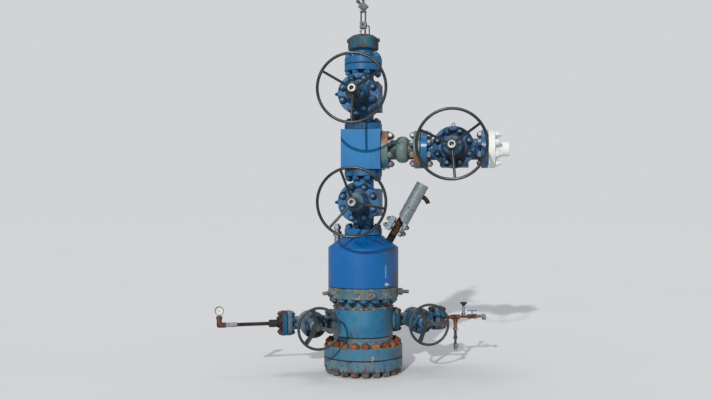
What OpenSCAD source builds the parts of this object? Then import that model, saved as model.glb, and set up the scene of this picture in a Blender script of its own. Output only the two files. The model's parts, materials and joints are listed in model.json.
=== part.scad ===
// Oil wellhead valve stack: casing head flange, tubing head spool, adapter can, three large gate
// valves on a tee block, and two small gate valves on the spool's side outlets.
// Millimetres. The stack stands on the ground at the origin: +Z is up, +X runs out along the flow
// arm, and -Y is the front, where the valve wheels face.

/* [Base and spool] */
// Outside diameter of the two base flanges
base_flange_d = 609.6; // [560:1:660]
// Thickness of each base flange
base_flange_t = 87.4; // [70:0.2:100]
// Height of the casing head stub under the lower flange
stub_h = 45; // [42:1:80]
// Diameter of the casing head stub
stub_d = 406; // [380:1:430]
// Diameter of the tubing head spool's body
spool_body_d = 462; // [440:1:476]
// Height of the spool's body above its bottom flange
spool_body_h = 290; // [280:1:360]
// Diameter of the spool's neck under its top flange
spool_neck_d = 390; // [360:1:410]
// Height of the spool's neck
spool_neck_h = 77; // [66:1:100]
// Outside diameter of the spool's top flange and of the adapter can
can_d = 546.1; // [520:1:600]
// Thickness of the spool's top flange
can_flange_t = 82; // [70:1:100]
// Height of the adapter can's cylinder
can_h = 312; // [250:1:400]
// Height of the cone on top of the adapter can
cone_h = 84; // [76:1:140]

/* [Large gate valves] */
// Outside diameter of the large valves' end flanges
flange_d = 292.1; // [280:0.1:300]
// Thickness of the large valves' end flanges
flange_t = 52.4; // [45:0.1:60]
// Length of a large valve from face to face
valve_len = 511; // [490:1:560]
// Diameter of a large valve's cavity barrel
barrel_d = 270; // [250:1:286]
// Reach of the barrel behind the flow axis
barrel_back = 150; // [145:1:170]
// Reach of the body's front flange ahead of the flow axis
barrel_front = 205; // [195:1:225]
// Diameter of the bonnet flange
bonnet_d = 310; // [296:1:320]
// Thickness of the bonnet flange
bonnet_t = 60; // [45:1:70]
// Distance from the flow axis to the middle of a large handwheel's rim
wheel_reach = 580; // [570:1:640]
// Outside diameter of a large handwheel
wheel_d = 516; // [400:1:540]
// Bar diameter of a large handwheel's rim
rim_bar_d = 21; // [18:1:26]

/* [Tee and flow arm] */
// Edge of the square tee block
block_w = 305; // [292:1:320]
// Length of the spool between the tee block and the wing valve
wing_spool_len = 301.5; // [290:0.5:330]
// Length of the weld neck flange at the arm's end
weld_neck_len = 160; // [130:1:220]
// Outside diameter of the flow pipe end
pipe_d = 114.3; // [108:0.1:120]
// Bore of the flow pipe end
pipe_bore_d = 97.2; // [90:0.1:98]

/* [Tree cap] */
// Diameter of the tree cap
cap_d = 238; // [210:1:250]
// Height of the tree cap
cap_h = 120; // [100:1:140]

/* [Side outlets] */
// Turn of the side outlets about the stack's axis, in degrees
outlet_turn = 22.5; // [18:0.5:26]
// Height of the side outlets' axis
outlet_z = 400; // [396:1:410]
// Stand of an outlet pad's face off the spool's body
pad_stand = 5; // [5:1:24]
// Length of a side valve from face to face
side_len = 371; // [360:1:400]
// Outside diameter of the side valves' flanges
side_flange_d = 190.5; // [180:0.1:200]
// Thickness of the side valves' flanges
side_flange_t = 36.5; // [32:0.5:42]
// Outside diameter of a side handwheel
side_wheel_d = 320; // [280:1:334]
// Distance from a side valve's flow axis to the middle of its wheel's rim
side_reach = 357; // [340:1:400]

/* [Cable feedthroughs] */
// Lean of the right feedthrough and its shield tube from upright, in degrees
feed_tilt = 29; // [27:0.5:31]
// Outside diameter of the shield tube
shield_d = 100; // [90:1:104]
// Length of the shield tube along its inner side
shield_len = 288; // [240:1:340]

/* [Hidden] */

BLUE = [0.15, 0.37, 0.56];
FADED = [0.24, 0.42, 0.52];
RUST = [0.42, 0.25, 0.16];
STEEL = [0.62, 0.63, 0.64];
BLACK = [0.09, 0.10, 0.09];
WHITE = [0.93, 0.94, 0.94];

big = 96;            // facets of large round pieces
small = 32;          // facets of small round pieces
face_h = 2.5;        // stand of a flange's raised face, half of the gap seen between two flanges
edge = 3;            // chamfer of flange edges
run_gap = 0.05;      // radial clearance of a stem in its bearing cap
hub_gap = 7;         // gap between a turning hub and its fixed bearing cap

// Heights up the stack
z_spool = stub_h + base_flange_t;
base_seat_r = base_flange_d / 2 - 92;
z_body = z_spool + base_flange_t;
z_neck = z_body + spool_body_h;
z_top_flange = z_neck + spool_neck_h;
z_can = z_top_flange + can_flange_t;
z_cone = z_can + can_h;
z_master_base = z_cone + cone_h;
z_master = z_master_base + valve_len / 2;
z_block = z_master_base + valve_len;
z_wing = z_block + block_w / 2;
z_swab_base = z_block + block_w;
z_swab = z_swab_base + valve_len / 2;
z_cap_flange = z_swab_base + valve_len;
cap_neck_h = 64;
z_cap = z_cap_flange + flange_t + cap_neck_h;
z_cap_top = z_cap + cap_h;
cap_top_r = 54;

// Along the flow arm
x_spool = block_w / 2;
x_wing_base = x_spool + wing_spool_len;
x_wing = x_wing_base + valve_len / 2;
x_weld = x_wing_base + valve_len;

// Large valve parts, as reaches ahead of the flow axis
bonnet_face = barrel_front + bonnet_t;
bearing_len = 100;
hub_len = 48;
hub_set = 73;        // from the rim's plane back to the near side of the hub
hub_base = wheel_reach - hub_set;
bearing_base = hub_base - hub_gap - bearing_len;
stem_r = 24;
raised_r = 92;
neck_r = 82;         // neck between a large valve's body and its end flange
bonnet_seat_r = 110;
foot_reach = 137;    // flat foot on one side of a large valve's body
foot_w = 210;

// Side valve parts
pad_face = spool_body_d / 2 + pad_stand;
side_center = pad_face + side_len / 2;
side_end = pad_face + side_len;
side_front = 128;
side_bonnet_t = 40;
side_bonnet_r = 98;
side_seat_r = 56;
side_neck_r = 50;
side_hub_len = 34;
side_hub_set = 75;
side_hub_base = side_reach - side_hub_set;
side_bearing_len = 54;
side_bearing_base = side_hub_base - hub_gap - side_bearing_len;
side_stem_r = 14;

// Turns a profile of [radius, height] points about the Z axis
module turned(points, fn = big) rotate_extrude($fn = fn) polygon(points);

// Points its child's +Z forward to -Y
module forward() rotate([90, 0, 0]) children();

// Round bar between two points
module rod(a, b, r, fn = small) {
  d = b - a;
  translate(a) rotate([0, acos(d.z / norm(d)), atan2(d.y, d.x)]) cylinder(h = norm(d), r = r, $fn = fn);
}

// Six-sided bar, for nuts and plugs
module hexagon(across, h) cylinder(h = h, r = across / 2 / cos(30), $fn = 6);

// Flange outline from its raised face at z = 0 up to its back
function flange_pts(r, t, face_r) =
  [[0, 0], [face_r, 0], [face_r, face_h], [r - edge, face_h], [r, face_h + edge], [r, t - edge],
   [r - edge, t]];

// Valve body: flow axis Z, front -Y, centred on the origin
module valve_body(len, fl_r, fl_t, nk_r, brl_r, back, front, bon_r, bon_lip, face_r, bon_face_r) {
  fillet = nk_r * 0.08;
  half = [[face_r, len / 2], [face_r, len / 2 - face_h], [fl_r - edge, len / 2 - face_h],
    [fl_r, len / 2 - face_h - edge], [fl_r, len / 2 - fl_t + edge], [fl_r - edge, len / 2 - fl_t],
    [nk_r + fillet, len / 2 - fl_t], [nk_r, len / 2 - fl_t - fillet]];
  turned(concat([[0, len / 2]], half,
    [for (i = [len(half) - 1:-1:0]) [half[i][0], -half[i][1]]], [[0, -len / 2]]));
  back_ch = brl_r * 0.25;
  forward() turned([[0, -back], [brl_r - back_ch, -back], [brl_r, -back + back_ch],
    [brl_r, front - bon_lip], [bon_r - edge, front - bon_lip], [bon_r, front - bon_lip + edge],
    [bon_r, front - face_h - edge], [bon_r - edge, front - face_h], [bon_face_r, front - face_h],
    [bon_face_r, front], [0, front]]);
}

module large_body() {
  valve_body(valve_len, flange_d / 2, flange_t, neck_r, barrel_d / 2, barrel_back, barrel_front,
    bonnet_d / 2, 40, raised_r, bonnet_seat_r);
  translate([0, 0, -foot_w / 2]) linear_extrude(foot_w) polygon([[0, 50 - barrel_front],
    [foot_reach - 8, 50 - barrel_front], [foot_reach, 58 - barrel_front],
    [foot_reach, barrel_back - 28], [foot_reach - 8, barrel_back - 20], [0, barrel_back - 20]]);
}

// Bonnet, from the body's front face out to the bearing cap, with the grease fitting on its rim
module large_bonnet() forward() {
  turned([[0, barrel_front], [bonnet_seat_r, barrel_front], [bonnet_seat_r, barrel_front + face_h],
    [bonnet_d / 2 - edge, barrel_front + face_h], [bonnet_d / 2, barrel_front + face_h + edge],
    [bonnet_d / 2, bonnet_face - edge], [bonnet_d / 2 - edge, bonnet_face], [92, bonnet_face],
    [82, bonnet_face + 10], [78, bonnet_face + 34], [62, bonnet_face + 56], [60, bonnet_face + 62],
    [60, bearing_base - 25], [52, bearing_base - 20], [52, bearing_base], [0, bearing_base]]);
  translate([4 - bonnet_d / 2, 0, barrel_front + bonnet_t / 2]) rotate([0, -90, 0])
    turned([[0, 0], [9, 0], [9, 12], [6, 14], [6, 24], [4, 27], [0, 27]], small);
}

// Bearing cap with the bore that the stem runs in
module large_bearing_cap() forward() translate([0, 0, bearing_base])
  turned([[0, 0], [64, 0], [68, 4], [68, 46], [62, 54], [46, 62], [42, 70], [42, bearing_len - 4],
    [38, bearing_len], [stem_r + run_gap, bearing_len], [stem_r + run_gap, 30], [0, 30]], small * 2);

// Stem sleeve with the bright ring nut that holds the wheel on
module large_stem() forward() turned([[0, bearing_base + 36], [stem_r, bearing_base + 36],
  [stem_r, hub_base + hub_len], [28, hub_base + hub_len], [30, hub_base + hub_len + 2],
  [30, hub_base + hub_len + 20], [27, hub_base + hub_len + 24], [17, hub_base + hub_len + 24],
  [17, hub_base + hub_len - 20], [0, hub_base + hub_len - 20]], small * 2);

// Handwheel: the rim lies at reach, the hub stands on the stem, the child is one spoke
module handwheel(d, bar, reach, hub_z, hub_l, hub_r, bore_r, spokes, phase) forward() {
  translate([0, 0, reach]) rotate_extrude($fn = big) translate([(d - bar) / 2, 0])
    circle(d = bar, $fn = 20);
  difference() {
    union() {
      turned([[0, hub_z], [hub_r - 3, hub_z], [hub_r, hub_z + 3], [hub_r, hub_z + hub_l - 3],
        [hub_r - 3, hub_z + hub_l], [0, hub_z + hub_l]], small * 2);
      for (k = [0:spokes - 1]) rotate(phase + k * 360 / spokes) children();
    }
    translate([0, 0, hub_z - 1]) cylinder(h = hub_l + 2, r = bore_r, $fn = small * 2);
  }
}

// Large wheel with three round-bar spokes
module large_wheel(phase) handwheel(wheel_d, rim_bar_d, wheel_reach, hub_base, hub_len, 40, stem_r,
  3, phase) rod([stem_r + 2, 0, hub_base + hub_len / 2], [(wheel_d - rim_bar_d) / 2, 0, wheel_reach],
  9.5, 24);

module at_master() translate([0, 0, z_master]) children();
module at_swab() translate([0, 0, z_swab]) children();
module at_wing() translate([x_wing, 0, z_wing]) children();

// Side outlets: s = 1 is the right one, s = -1 the left one
module at_side(s) rotate(outlet_turn) translate([s * side_center, 0, outlet_z]) children();
module outlet(s) rotate(outlet_turn) translate([0, 0, outlet_z]) rotate([0, 90 * s, 0]) children();

module side_body(s) at_side(s) rotate([0, 90, 0]) valve_body(side_len, side_flange_d / 2,
  side_flange_t, side_neck_r, 84, 88, side_front, side_bonnet_r, 26, side_seat_r, 66);

module side_bonnet(s) at_side(s) forward() translate([0, 0, side_front]) turned([[0, 0], [66, 0],
  [66, face_h], [side_bonnet_r - edge, face_h], [side_bonnet_r, face_h + edge],
  [side_bonnet_r, side_bonnet_t - edge], [side_bonnet_r - edge, side_bonnet_t],
  [54, side_bonnet_t], [46, side_bonnet_t + 14], [36, side_bonnet_t + 30], [36, neck_h],
  [44, neck_h], [46, neck_h + 2], [46, neck_h + 28], [32, neck_h + 34],
  [30, neck_h + side_bearing_len], [side_stem_r + run_gap, neck_h + side_bearing_len],
  [side_stem_r + run_gap, neck_h + 10], [0, neck_h + 10]], small * 2);
neck_h = side_bearing_base - side_front;

module side_stem(s) at_side(s) forward() turned([[0, side_bearing_base + 16],
  [side_stem_r, side_bearing_base + 16], [side_stem_r, side_hub_base + side_hub_len],
  [20, side_hub_base + side_hub_len], [20, side_hub_base + side_hub_len + 14],
  [10, side_hub_base + side_hub_len + 14], [10, side_hub_base + side_hub_len + 20],
  [0, side_hub_base + side_hub_len + 20]], small);

// Side wheel with three broad cast spokes that widen towards the rim
side_bar_d = 20;
module side_wheel(s, phase) at_side(s) handwheel(side_wheel_d, side_bar_d, side_reach,
  side_hub_base, side_hub_len, 30, side_stem_r, 3, phase) intersection() {
    a = side_stem_r + 2;
    b = (side_wheel_d - side_bar_d) / 2;
    low = side_hub_base + side_hub_len / 2;
    rotate([90, 0, 0]) linear_extrude(40, center = true)
      polygon([[a, low - 6], [b, side_reach - 5], [b, side_reach + 5], [a, low + 8]]);
    linear_extrude(side_reach + side_bar_d) polygon([[a, -13], [b, -17], [b, 17], [a, 13]]);
  }

// Frame of the right feedthrough: +Z up along the leaning stub, +X away from the stack
feed_x = can_d / 2 - 12;
feed_z = z_master_base + 57;
stub_r = 29;
feed_depth = 135;
stub_len = 205;
socket_len = 80;
left_stub_r = 24;
left_stub_x = can_d / 2 - 68;
stud_r = 8;
stud_y = stub_r + stud_r + 0.3;
plate_h = 110;
plate_w = 2 * stud_y + 26;
plate_mid = 11;      // middle of the clamp along the stub
inner_plate_t = 40;
inner_plate_x = -38 - inner_plate_t;
outer_plate_t = 24;
outer_plate_x = 37;
stud_set = 27;
strap_t = 4;
strap_w = 44;
shield_x = outer_plate_x + outer_plate_t + strap_t - shield_d / 2;
shield_cut_z = 107;  // where the slanting cut meets the tube's inner side
shield_foot_z = plate_mid + plate_h / 2 + 0.3;
boot_z = 309;
boot_r = 17;
boot_bend = 90;
boot_turn = 44;
module feed() translate([feed_x, 0, feed_z]) rotate([0, feed_tilt, 0]) children();

module casing_head_flange() color(RUST) turned([[0, 0], [stub_d / 2, 0], [stub_d / 2, stub_h - 12],
  [stub_d / 2 + 12, stub_h], [base_flange_d / 2 - edge, stub_h], [base_flange_d / 2, stub_h + edge],
  [base_flange_d / 2, z_spool - face_h - edge], [base_flange_d / 2 - edge, z_spool - face_h],
  [base_seat_r, z_spool - face_h], [base_seat_r, z_spool], [0, z_spool]]);

module tubing_head_spool() color(FADED) {
  turned([[0, z_spool], [base_seat_r, z_spool], [base_seat_r, z_spool + face_h],
    [base_flange_d / 2 - edge, z_spool + face_h], [base_flange_d / 2, z_spool + face_h + edge],
    [base_flange_d / 2, z_body - edge], [base_flange_d / 2 - edge, z_body],
    [spool_body_d / 2 + 8, z_body], [spool_body_d / 2, z_body + 8], [spool_body_d / 2, z_body + 66],
    [spool_body_d / 2 - 4, z_body + 68], [spool_body_d / 2 - 4, z_body + 74],
    [spool_body_d / 2, z_body + 76], [spool_body_d / 2, z_neck - 4], [spool_body_d / 2 + 7, z_neck],
    [spool_body_d / 2 + 7, z_neck + 7], [spool_body_d / 2 + 4, z_neck + 9],
    [spool_neck_d / 2, z_neck + 11], [spool_neck_d / 2, z_top_flange - 6],
    [spool_neck_d / 2 + 8, z_top_flange], [can_d / 2 - edge, z_top_flange],
    [can_d / 2, z_top_flange + edge], [can_d / 2, z_can - face_h - edge],
    [can_d / 2 - edge, z_can - face_h], [200, z_can - face_h], [200, z_can], [0, z_can]]);
  for (s = [-1, 1]) outlet(s) turned([[0, 170], [93, 170], [93, pad_face - face_h - 2],
    [91, pad_face - face_h], [side_seat_r, pad_face - face_h], [side_seat_r, pad_face],
    [0, pad_face]], small * 2);
}

// Gland nuts and screws that lock the tubing hanger, and the plugs of two test ports
lock_z = z_can - can_flange_t / 2;
lock_count = 5;
lock_turn = -69;     // of the front one, in degrees
module radial_fittings() color(RUST) {
  for (k = [0:lock_count - 1]) rotate(lock_turn + k * 360 / lock_count)
    translate([can_d / 2, 0, lock_z]) rotate([0, 90, 0]) {
      hexagon(46, 34);
      translate([0, 0, 34]) cylinder(h = 30, r = 14, $fn = small);
      translate([0, 0, 64]) hexagon(24, 18);
    }
  rotate(lock_turn) translate([base_flange_d / 2, 0, z_spool + base_flange_t * 0.28])
    plug(36, 14, 9, 10);
  rotate(-43) translate([can_d / 2, 0, z_can + 31]) plug(24, 12, 8, 16);
}

module plug(across, h, nose_r, nose_h) rotate([0, 90, 0]) {
  hexagon(across, h);
  translate([0, 0, h]) cylinder(h = nose_h, r = nose_r, $fn = small);
}

module adapter_can() color(BLUE) difference() {
  turned([[0, z_can], [200, z_can], [200, z_can + face_h], [can_d / 2 - edge, z_can + face_h],
    [can_d / 2, z_can + face_h + edge], [can_d / 2, z_cone - 10], [can_d / 2 - 12, z_cone],
    [162, z_master_base - 12], [155, z_master_base - 6], [155, z_master_base - face_h],
    [raised_r, z_master_base - face_h], [raised_r, z_master_base], [0, z_master_base]]);
  translate([-left_stub_x, 0, z_cone - 20]) cylinder(h = cone_h, r = left_stub_r, $fn = small);
  feed() translate([0, 0, -feed_depth]) cylinder(h = socket_len, r = stub_r, $fn = small);
}

module left_feedthrough() color(STEEL) translate([-left_stub_x, 0, z_cone - 20]) {
  cylinder(h = cone_h + 15, r = left_stub_r, $fn = small);
  translate([0, 0, cone_h + 15]) {
    hexagon(60, 34);
    translate([0, 0, 34]) cylinder(h = 14, r = 21, $fn = small);
    translate([0, 0, 48]) hexagon(48, 30);
    translate([0, 0, 78]) turned([[0, 0], [17, 0], [17, 12], [12, 16], [0, 16]], small);
  }
}

module right_feedthrough() color(BLACK) feed() translate([0, 0, -feed_depth]) {
  cylinder(h = stub_len, r = stub_r, $fn = small);
  translate([0, 0, stub_len]) turned([[0, 0], [24, 0], [24, 22], [18, 28], [0, 28]], small);
}

module clamp_plates() color(FADED) feed() translate([0, -plate_w / 2, plate_mid - plate_h / 2]) {
  translate([inner_plate_x, 0, 0]) cube([inner_plate_t, plate_w, plate_h]);
  translate([outer_plate_x, 0, 0]) cube([outer_plate_t, plate_w, plate_h]);
}

module clamp_studs() color(RUST) feed() for (sy = [-1, 1], sz = [-1, 1])
  translate([inner_plate_x + inner_plate_t, sy * stud_y, plate_mid + sz * stud_set])
    rotate([0, 90, 0])
      cylinder(h = outer_plate_x - inner_plate_x - inner_plate_t, r = stud_r, $fn = small);

// Shield tube, cut off at a slant, with a strap down to the clamp
module shield_tube() color(STEEL) feed() difference() {
  union() {
    difference() {
      translate([shield_x, 0, shield_foot_z])
        cylinder(h = shield_cut_z + shield_len - shield_foot_z, d = shield_d, $fn = small * 2);
      translate([shield_x - shield_d / 2, -shield_d, shield_cut_z]) rotate([0, 40, 0])
        translate([-shield_d, 0, -3 * shield_d]) cube([4 * shield_d, 2 * shield_d, 3 * shield_d]);
    }
    translate([shield_x + shield_d / 2 - strap_t, -strap_w / 2, plate_mid - plate_h / 2])
      cube([strap_t, strap_w, plate_h / 2 + shield_cut_z]);
  }
  translate([shield_x, 0, -1])
    cylinder(h = shield_cut_z + shield_len + 2, d = shield_d - 2 * strap_t, $fn = small * 2);
  translate([shield_x, 0, boot_z]) rotate([0, 90, 0]) cylinder(h = shield_d, r = boot_r + 0.3, $fn = small);
}

// Rubber sleeve that leaves through the tube's outer wall and bends down
module shield_boot() color(BLACK) feed()
  translate([shield_x + shield_d / 2 - strap_t, 0, boot_z - boot_bend]) rotate([90, 0, 0])
    rotate(90 - boot_turn) rotate_extrude(angle = boot_turn, $fn = small * 2)
      translate([boot_bend, 0]) circle(r = boot_r, $fn = small);

module master_valve_body() color(BLUE) at_master() large_body();
module swab_valve_body() color(BLUE) at_swab() large_body();
module wing_valve_body() color(BLUE) at_wing() rotate([0, 90, 0]) large_body();
module master_bonnet() color(BLUE) at_master() large_bonnet();
module swab_bonnet() color(BLUE) at_swab() large_bonnet();
module wing_bonnet() color(BLUE) at_wing() rotate([0, 90, 0]) large_bonnet();
module bearing_caps() color(BLUE) {
  at_master() large_bearing_cap();
  at_swab() large_bearing_cap();
  at_wing() large_bearing_cap();
}
module master_stem() color(STEEL) at_master() large_stem();
module wing_stem() color(STEEL) at_wing() large_stem();
module swab_stem() color(STEEL) at_swab() large_stem();
module master_handwheel() color(BLACK) at_master() large_wheel(109);
module wing_handwheel() color(BLACK) at_wing() large_wheel(35.5);
module swab_handwheel() color(BLACK) at_swab() large_wheel(30);

module tee_block() color(BLUE) translate([-block_w / 2, -block_w / 2, z_block]) cube(block_w);

module wing_spool() color(FADED) translate([x_spool, 0, z_wing]) rotate([0, 90, 0]) {
  l = wing_spool_len;
  turned(concat(flange_pts(flange_d / 2, flange_t, raised_r),
    [[82, flange_t], [76, flange_t + 8]],
    [for (t = [0:15:180]) [76 + 27 * sin(t), l * 0.5175 - 46 * cos(t)]],
    [[76, l - flange_t - 8], [82, l - flange_t]],
    [for (p = [for (i = [6:-1:0]) flange_pts(flange_d / 2, flange_t, raised_r)[i]]) [p[0], l - p[1]]]));
}

module weld_neck_flange() color(WHITE) translate([x_weld, 0, z_wing]) rotate([0, 90, 0])
  difference() {
    turned(concat(flange_pts(flange_d / 2, flange_t, raised_r),
      [[86, flange_t], [80, flange_t + 8], [pipe_d / 2, weld_neck_len * 0.62],
       [pipe_d / 2, weld_neck_len - 8], [pipe_bore_d / 2 + 2, weld_neck_len], [0, weld_neck_len]]));
    translate([0, 0, -1]) cylinder(h = weld_neck_len + 2, d = pipe_bore_d, $fn = small * 2);
  }

module cap_flange() color(BLUE) translate([0, 0, z_cap_flange])
  turned(concat(flange_pts(flange_d / 2, flange_t, raised_r),
    [[88, flange_t], [84, flange_t + 6], [84, flange_t + cap_neck_h], [0, flange_t + cap_neck_h]]));

module tree_cap() color(BLUE) translate([0, 0, z_cap]) {
  turned([[0, 0], [cap_d / 2 - 7, 0], [cap_d / 2, 7], [cap_d / 2, cap_h - 38],
    [cap_d / 2 - 7, cap_h - 28], [cap_top_r + 32, cap_h - 10], [cap_top_r, cap_h], [0, cap_h]]);
  for (s = [-1, 1]) translate([s * (cap_d / 2 - 30), 0, cap_h - 44]) rotate([0, 90 * s, 0])
    turned([[0, 0], [15, 0], [15, 37], [12, 40], [0, 40]], small);
}

// Fittings on the cap, from below: nipple, needle valve with its bent pressure tube, coupler
nipple_h = 40;
valve_gap = 10;
needle_w = 50;
rod_h = 76;
tube_x = 47;
tube_r = 5;
bend_r = 14;
z_needle = z_cap_top + nipple_h + valve_gap;
z_coupler = z_needle + needle_w + rod_h;
module cap_nipple() color(RUST) translate([0, 0, z_cap_top]) {
  hexagon(38, nipple_h);
  translate([-18, 0, nipple_h - 12]) rotate([0, -90, 0]) cylinder(h = 12, r = 6, $fn = small);
  translate([0, 0, nipple_h]) cylinder(h = valve_gap, r = 11, $fn = small);
}

module cap_needle_valve() color(STEEL) translate([0, 0, z_needle]) {
  difference() {
    translate([-needle_w / 2, -needle_w / 2, 0]) cube(needle_w);
    translate([0, 10 - needle_w / 2, needle_w / 2]) forward() cylinder(h = 20, r = 9, $fn = small);
  }
  for (s = [-1, 1]) translate([s * 17, 0, needle_w]) cylinder(h = rod_h, r = 6, $fn = small);
  rod([needle_w / 2 - 1, 0, 22], [tube_x - bend_r, 0, 22], tube_r);
  translate([tube_x - bend_r, 0, 22 - bend_r]) rotate([90, 0, 0])
    rotate_extrude(angle = 90, $fn = small) translate([bend_r, 0]) circle(r = tube_r, $fn = 20);
  translate([tube_x, 0, z_cap_top - z_needle])
    cylinder(h = z_needle - z_cap_top + 22 - bend_r, r = tube_r, $fn = 20);
}

// Square block that stands on its corner, on a foot across the two rods
coupler_w = 58;
module cap_coupler() color(STEEL) translate([0, 0, z_coupler]) {
  translate([-24, -11, 0]) cube([48, 22, 12]);
  translate([0, 0, coupler_w * 0.72 + 4]) {
    rotate([0, 45, 0]) translate([-coupler_w / 2, -17, -coupler_w / 2]) cube([coupler_w, 34, coupler_w]);
    rotate([0, -45, 0]) translate([0, 0, coupler_w / 2])
      turned([[0, 0], [9, 0], [9, 18], [13, 20], [13, 40], [10, 43], [0, 43]], small);
  }
  translate([0, 0, coupler_w * 1.3]) {
    cylinder(h = 24, r = 9, $fn = small);
    translate([0, 0, 24]) hexagon(30, 22);
    translate([0, 0, 46]) turned([[0, 0], [10, 0], [10, 18], [7, 22], [0, 22]], small);
  }
}

module left_side_valve() color(BLUE) side_body(-1);
module right_side_valve() color(BLUE) side_body(1);
module side_bonnets() color(BLUE) { side_bonnet(-1); side_bonnet(1); }
module left_side_stem() color(STEEL) side_stem(-1);
module right_side_stem() color(STEEL) side_stem(1);
module left_side_handwheel() color(BLACK) side_wheel(-1, 108);
module right_side_handwheel() color(BLACK) side_wheel(1, 120);

module companion_flanges() color(BLUE) for (s = [-1, 1]) outlet(s) translate([0, 0, side_end])
  turned(concat(flange_pts(side_flange_d / 2, side_flange_t, side_seat_r), [[0, side_flange_t]]),
    small * 2);

// Small lines on the companion flanges: reaches are counted from the flange's outer face
line_face = side_end + side_flange_t;
pipe_end = 336;
elbow_set = 468;     // from the flange to the gauge's upright axis
elbow_r = 19.5;
elbow_rise = 66;
module left_gauge_line() color(STEEL) {
  outlet(-1) translate([0, 0, line_face]) turned([[0, 0], [24, 0], [24, 28], [28.5, 31],
    [28.5, 91], [26, 94], [16, 96], [13.5, 102], [13.5, pipe_end], [17, pipe_end],
    [17, pipe_end + 68], [15, pipe_end + 80], [elbow_r, pipe_end + 84], [elbow_r, elbow_set],
    [0, elbow_set]], small);
  rotate(outlet_turn) translate([-line_face - elbow_set, 0, outlet_z]) {
    sphere(r = elbow_r, $fn = small);
    turned([[0, 0], [elbow_r, 0], [elbow_r, elbow_rise - 22], [elbow_r + 3, elbow_rise - 20],
      [elbow_r + 3, elbow_rise], [0, elbow_rise]], small);
  }
}

gauge_d = 66;
module pressure_gauge() color(WHITE) rotate(outlet_turn)
  translate([-line_face - elbow_set, 0, outlet_z + elbow_rise]) {
    hexagon(16, 12);
    translate([0, 14, gauge_d / 2 + 8]) forward() turned([[0, 0], [gauge_d / 2 - 2, 0],
      [gauge_d / 2, 2], [gauge_d / 2, 26], [gauge_d / 2 - 2, 28], [gauge_d / 2 - 4, 28],
      [gauge_d / 2 - 4, 25], [0, 25]], small * 2);
  }

// Right line: nipple, tee with a drain leg, thin pipe, ball valve, nipple and elbow
tee_set = 120;       // from the flange to the drain leg's axis
thin_pipe_r = 10;
ball_set = 263;      // to the ball valve's stem
ball_half = 38;
end_set = 366;
column_set = 190;    // to the needle valve's axis
leg_len = 264;
grip_z = 44;         // from the foot of the bleed handle's stem to its grip
module right_bleed_line() color(RUST) {
  outlet(1) translate([0, 0, line_face]) {
    turned([[0, 0], [20, 0], [20, 16], [15, 20], [15, tee_set - 38], [20, tee_set - 36],
      [20, tee_set + 36], [15, tee_set + 38], [thin_pipe_r, tee_set + 42],
      [thin_pipe_r, ball_set - ball_half], [17, ball_set - ball_half], [19, ball_set - ball_half + 2],
      [19, ball_set - 14], [16, ball_set - 10], [16, ball_set + 10], [19, ball_set + 14],
      [19, ball_set + ball_half - 2], [17, ball_set + ball_half], [12, ball_set + ball_half],
      [12, end_set - 16], [16, end_set - 14], [16, end_set], [0, end_set]], small);
    translate([0, 0, end_set]) sphere(r = 16, $fn = small);
  }
  right_line() {
    translate([tee_set, 0, 0]) mirror([0, 0, 1]) turned([[0, 0], [17, 0], [20, 18], [20, 38],
      [14, 40], [14, 84], [19, 86], [19, 104], [12, 106], [12, leg_len - 114], [16, leg_len - 112],
      [16, leg_len - 88], [10, leg_len - 86], [10, leg_len - 60], [15, leg_len - 56],
      [15, leg_len - 18], [12, leg_len - 14], [12, leg_len], [0, leg_len]], small);
    translate([tee_set, 0, 37 - leg_len]) forward()
      turned([[0, 0], [9, 0], [9, 24], [16, 26], [16, 34], [0, 34]], small);
    translate([end_set, 0, 0]) mirror([0, 0, 1]) turned([[0, 0], [16, 0], [16, 30], [0, 30]], small);
  }
}
module right_line() rotate(outlet_turn) translate([line_face, 0, outlet_z]) children();

module bleed_valve() color(STEEL) right_line() translate([column_set, 0, thin_pipe_r]) {
  hexagon(34, 18);
  translate([0, 0, 18]) turned([[0, 0], [13, 0], [13, 14], [11, 16], [11, 52],
    [5 + run_gap, 52], [5 + run_gap, 12], [0, 12]], small);
}

module bleed_handle() color(BLACK) right_line() translate([column_set, 0, thin_pipe_r + 34])
  turned([[0, 0], [5, 0], [5, grip_z - 2], [9, grip_z], [29.5, grip_z + 22], [29.5, grip_z + 28],
    [10, grip_z + 32], [0, grip_z + 32]], small);

// Blue cross handle on the ball valve
module ball_valve_handle() color(BLUE) right_line() translate([ball_set, 0, 16]) {
  translate([0, 0, 0.3]) cylinder(h = 26, r = 5, $fn = small);
  translate([0, 0, 26]) linear_extrude(8) polygon([[-39, -5], [-34, -8], [34, -8], [39, -5],
    [39, 5], [34, 8], [-34, 8], [-39, 5]]);
}

casing_head_flange();
tubing_head_spool();
radial_fittings();
adapter_can();
left_feedthrough();
right_feedthrough();
clamp_plates();
clamp_studs();
shield_tube();
shield_boot();
master_valve_body();
master_bonnet();
tee_block();
swab_valve_body();
swab_bonnet();
wing_spool();
wing_valve_body();
wing_bonnet();
bearing_caps();
weld_neck_flange();
master_handwheel();
wing_handwheel();
swab_handwheel();
master_stem();
wing_stem();
swab_stem();
cap_flange();
tree_cap();
cap_nipple();
cap_needle_valve();
cap_coupler();
left_side_valve();
right_side_valve();
side_bonnets();
left_side_handwheel();
right_side_handwheel();
left_side_stem();
right_side_stem();
companion_flanges();
left_gauge_line();
pressure_gauge();
right_bleed_line();
bleed_valve();
bleed_handle();
ball_valve_handle();
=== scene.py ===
"""Dresses the solids of a wellhead valve stack: bolting, dial, finishes and a plain stage."""

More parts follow.
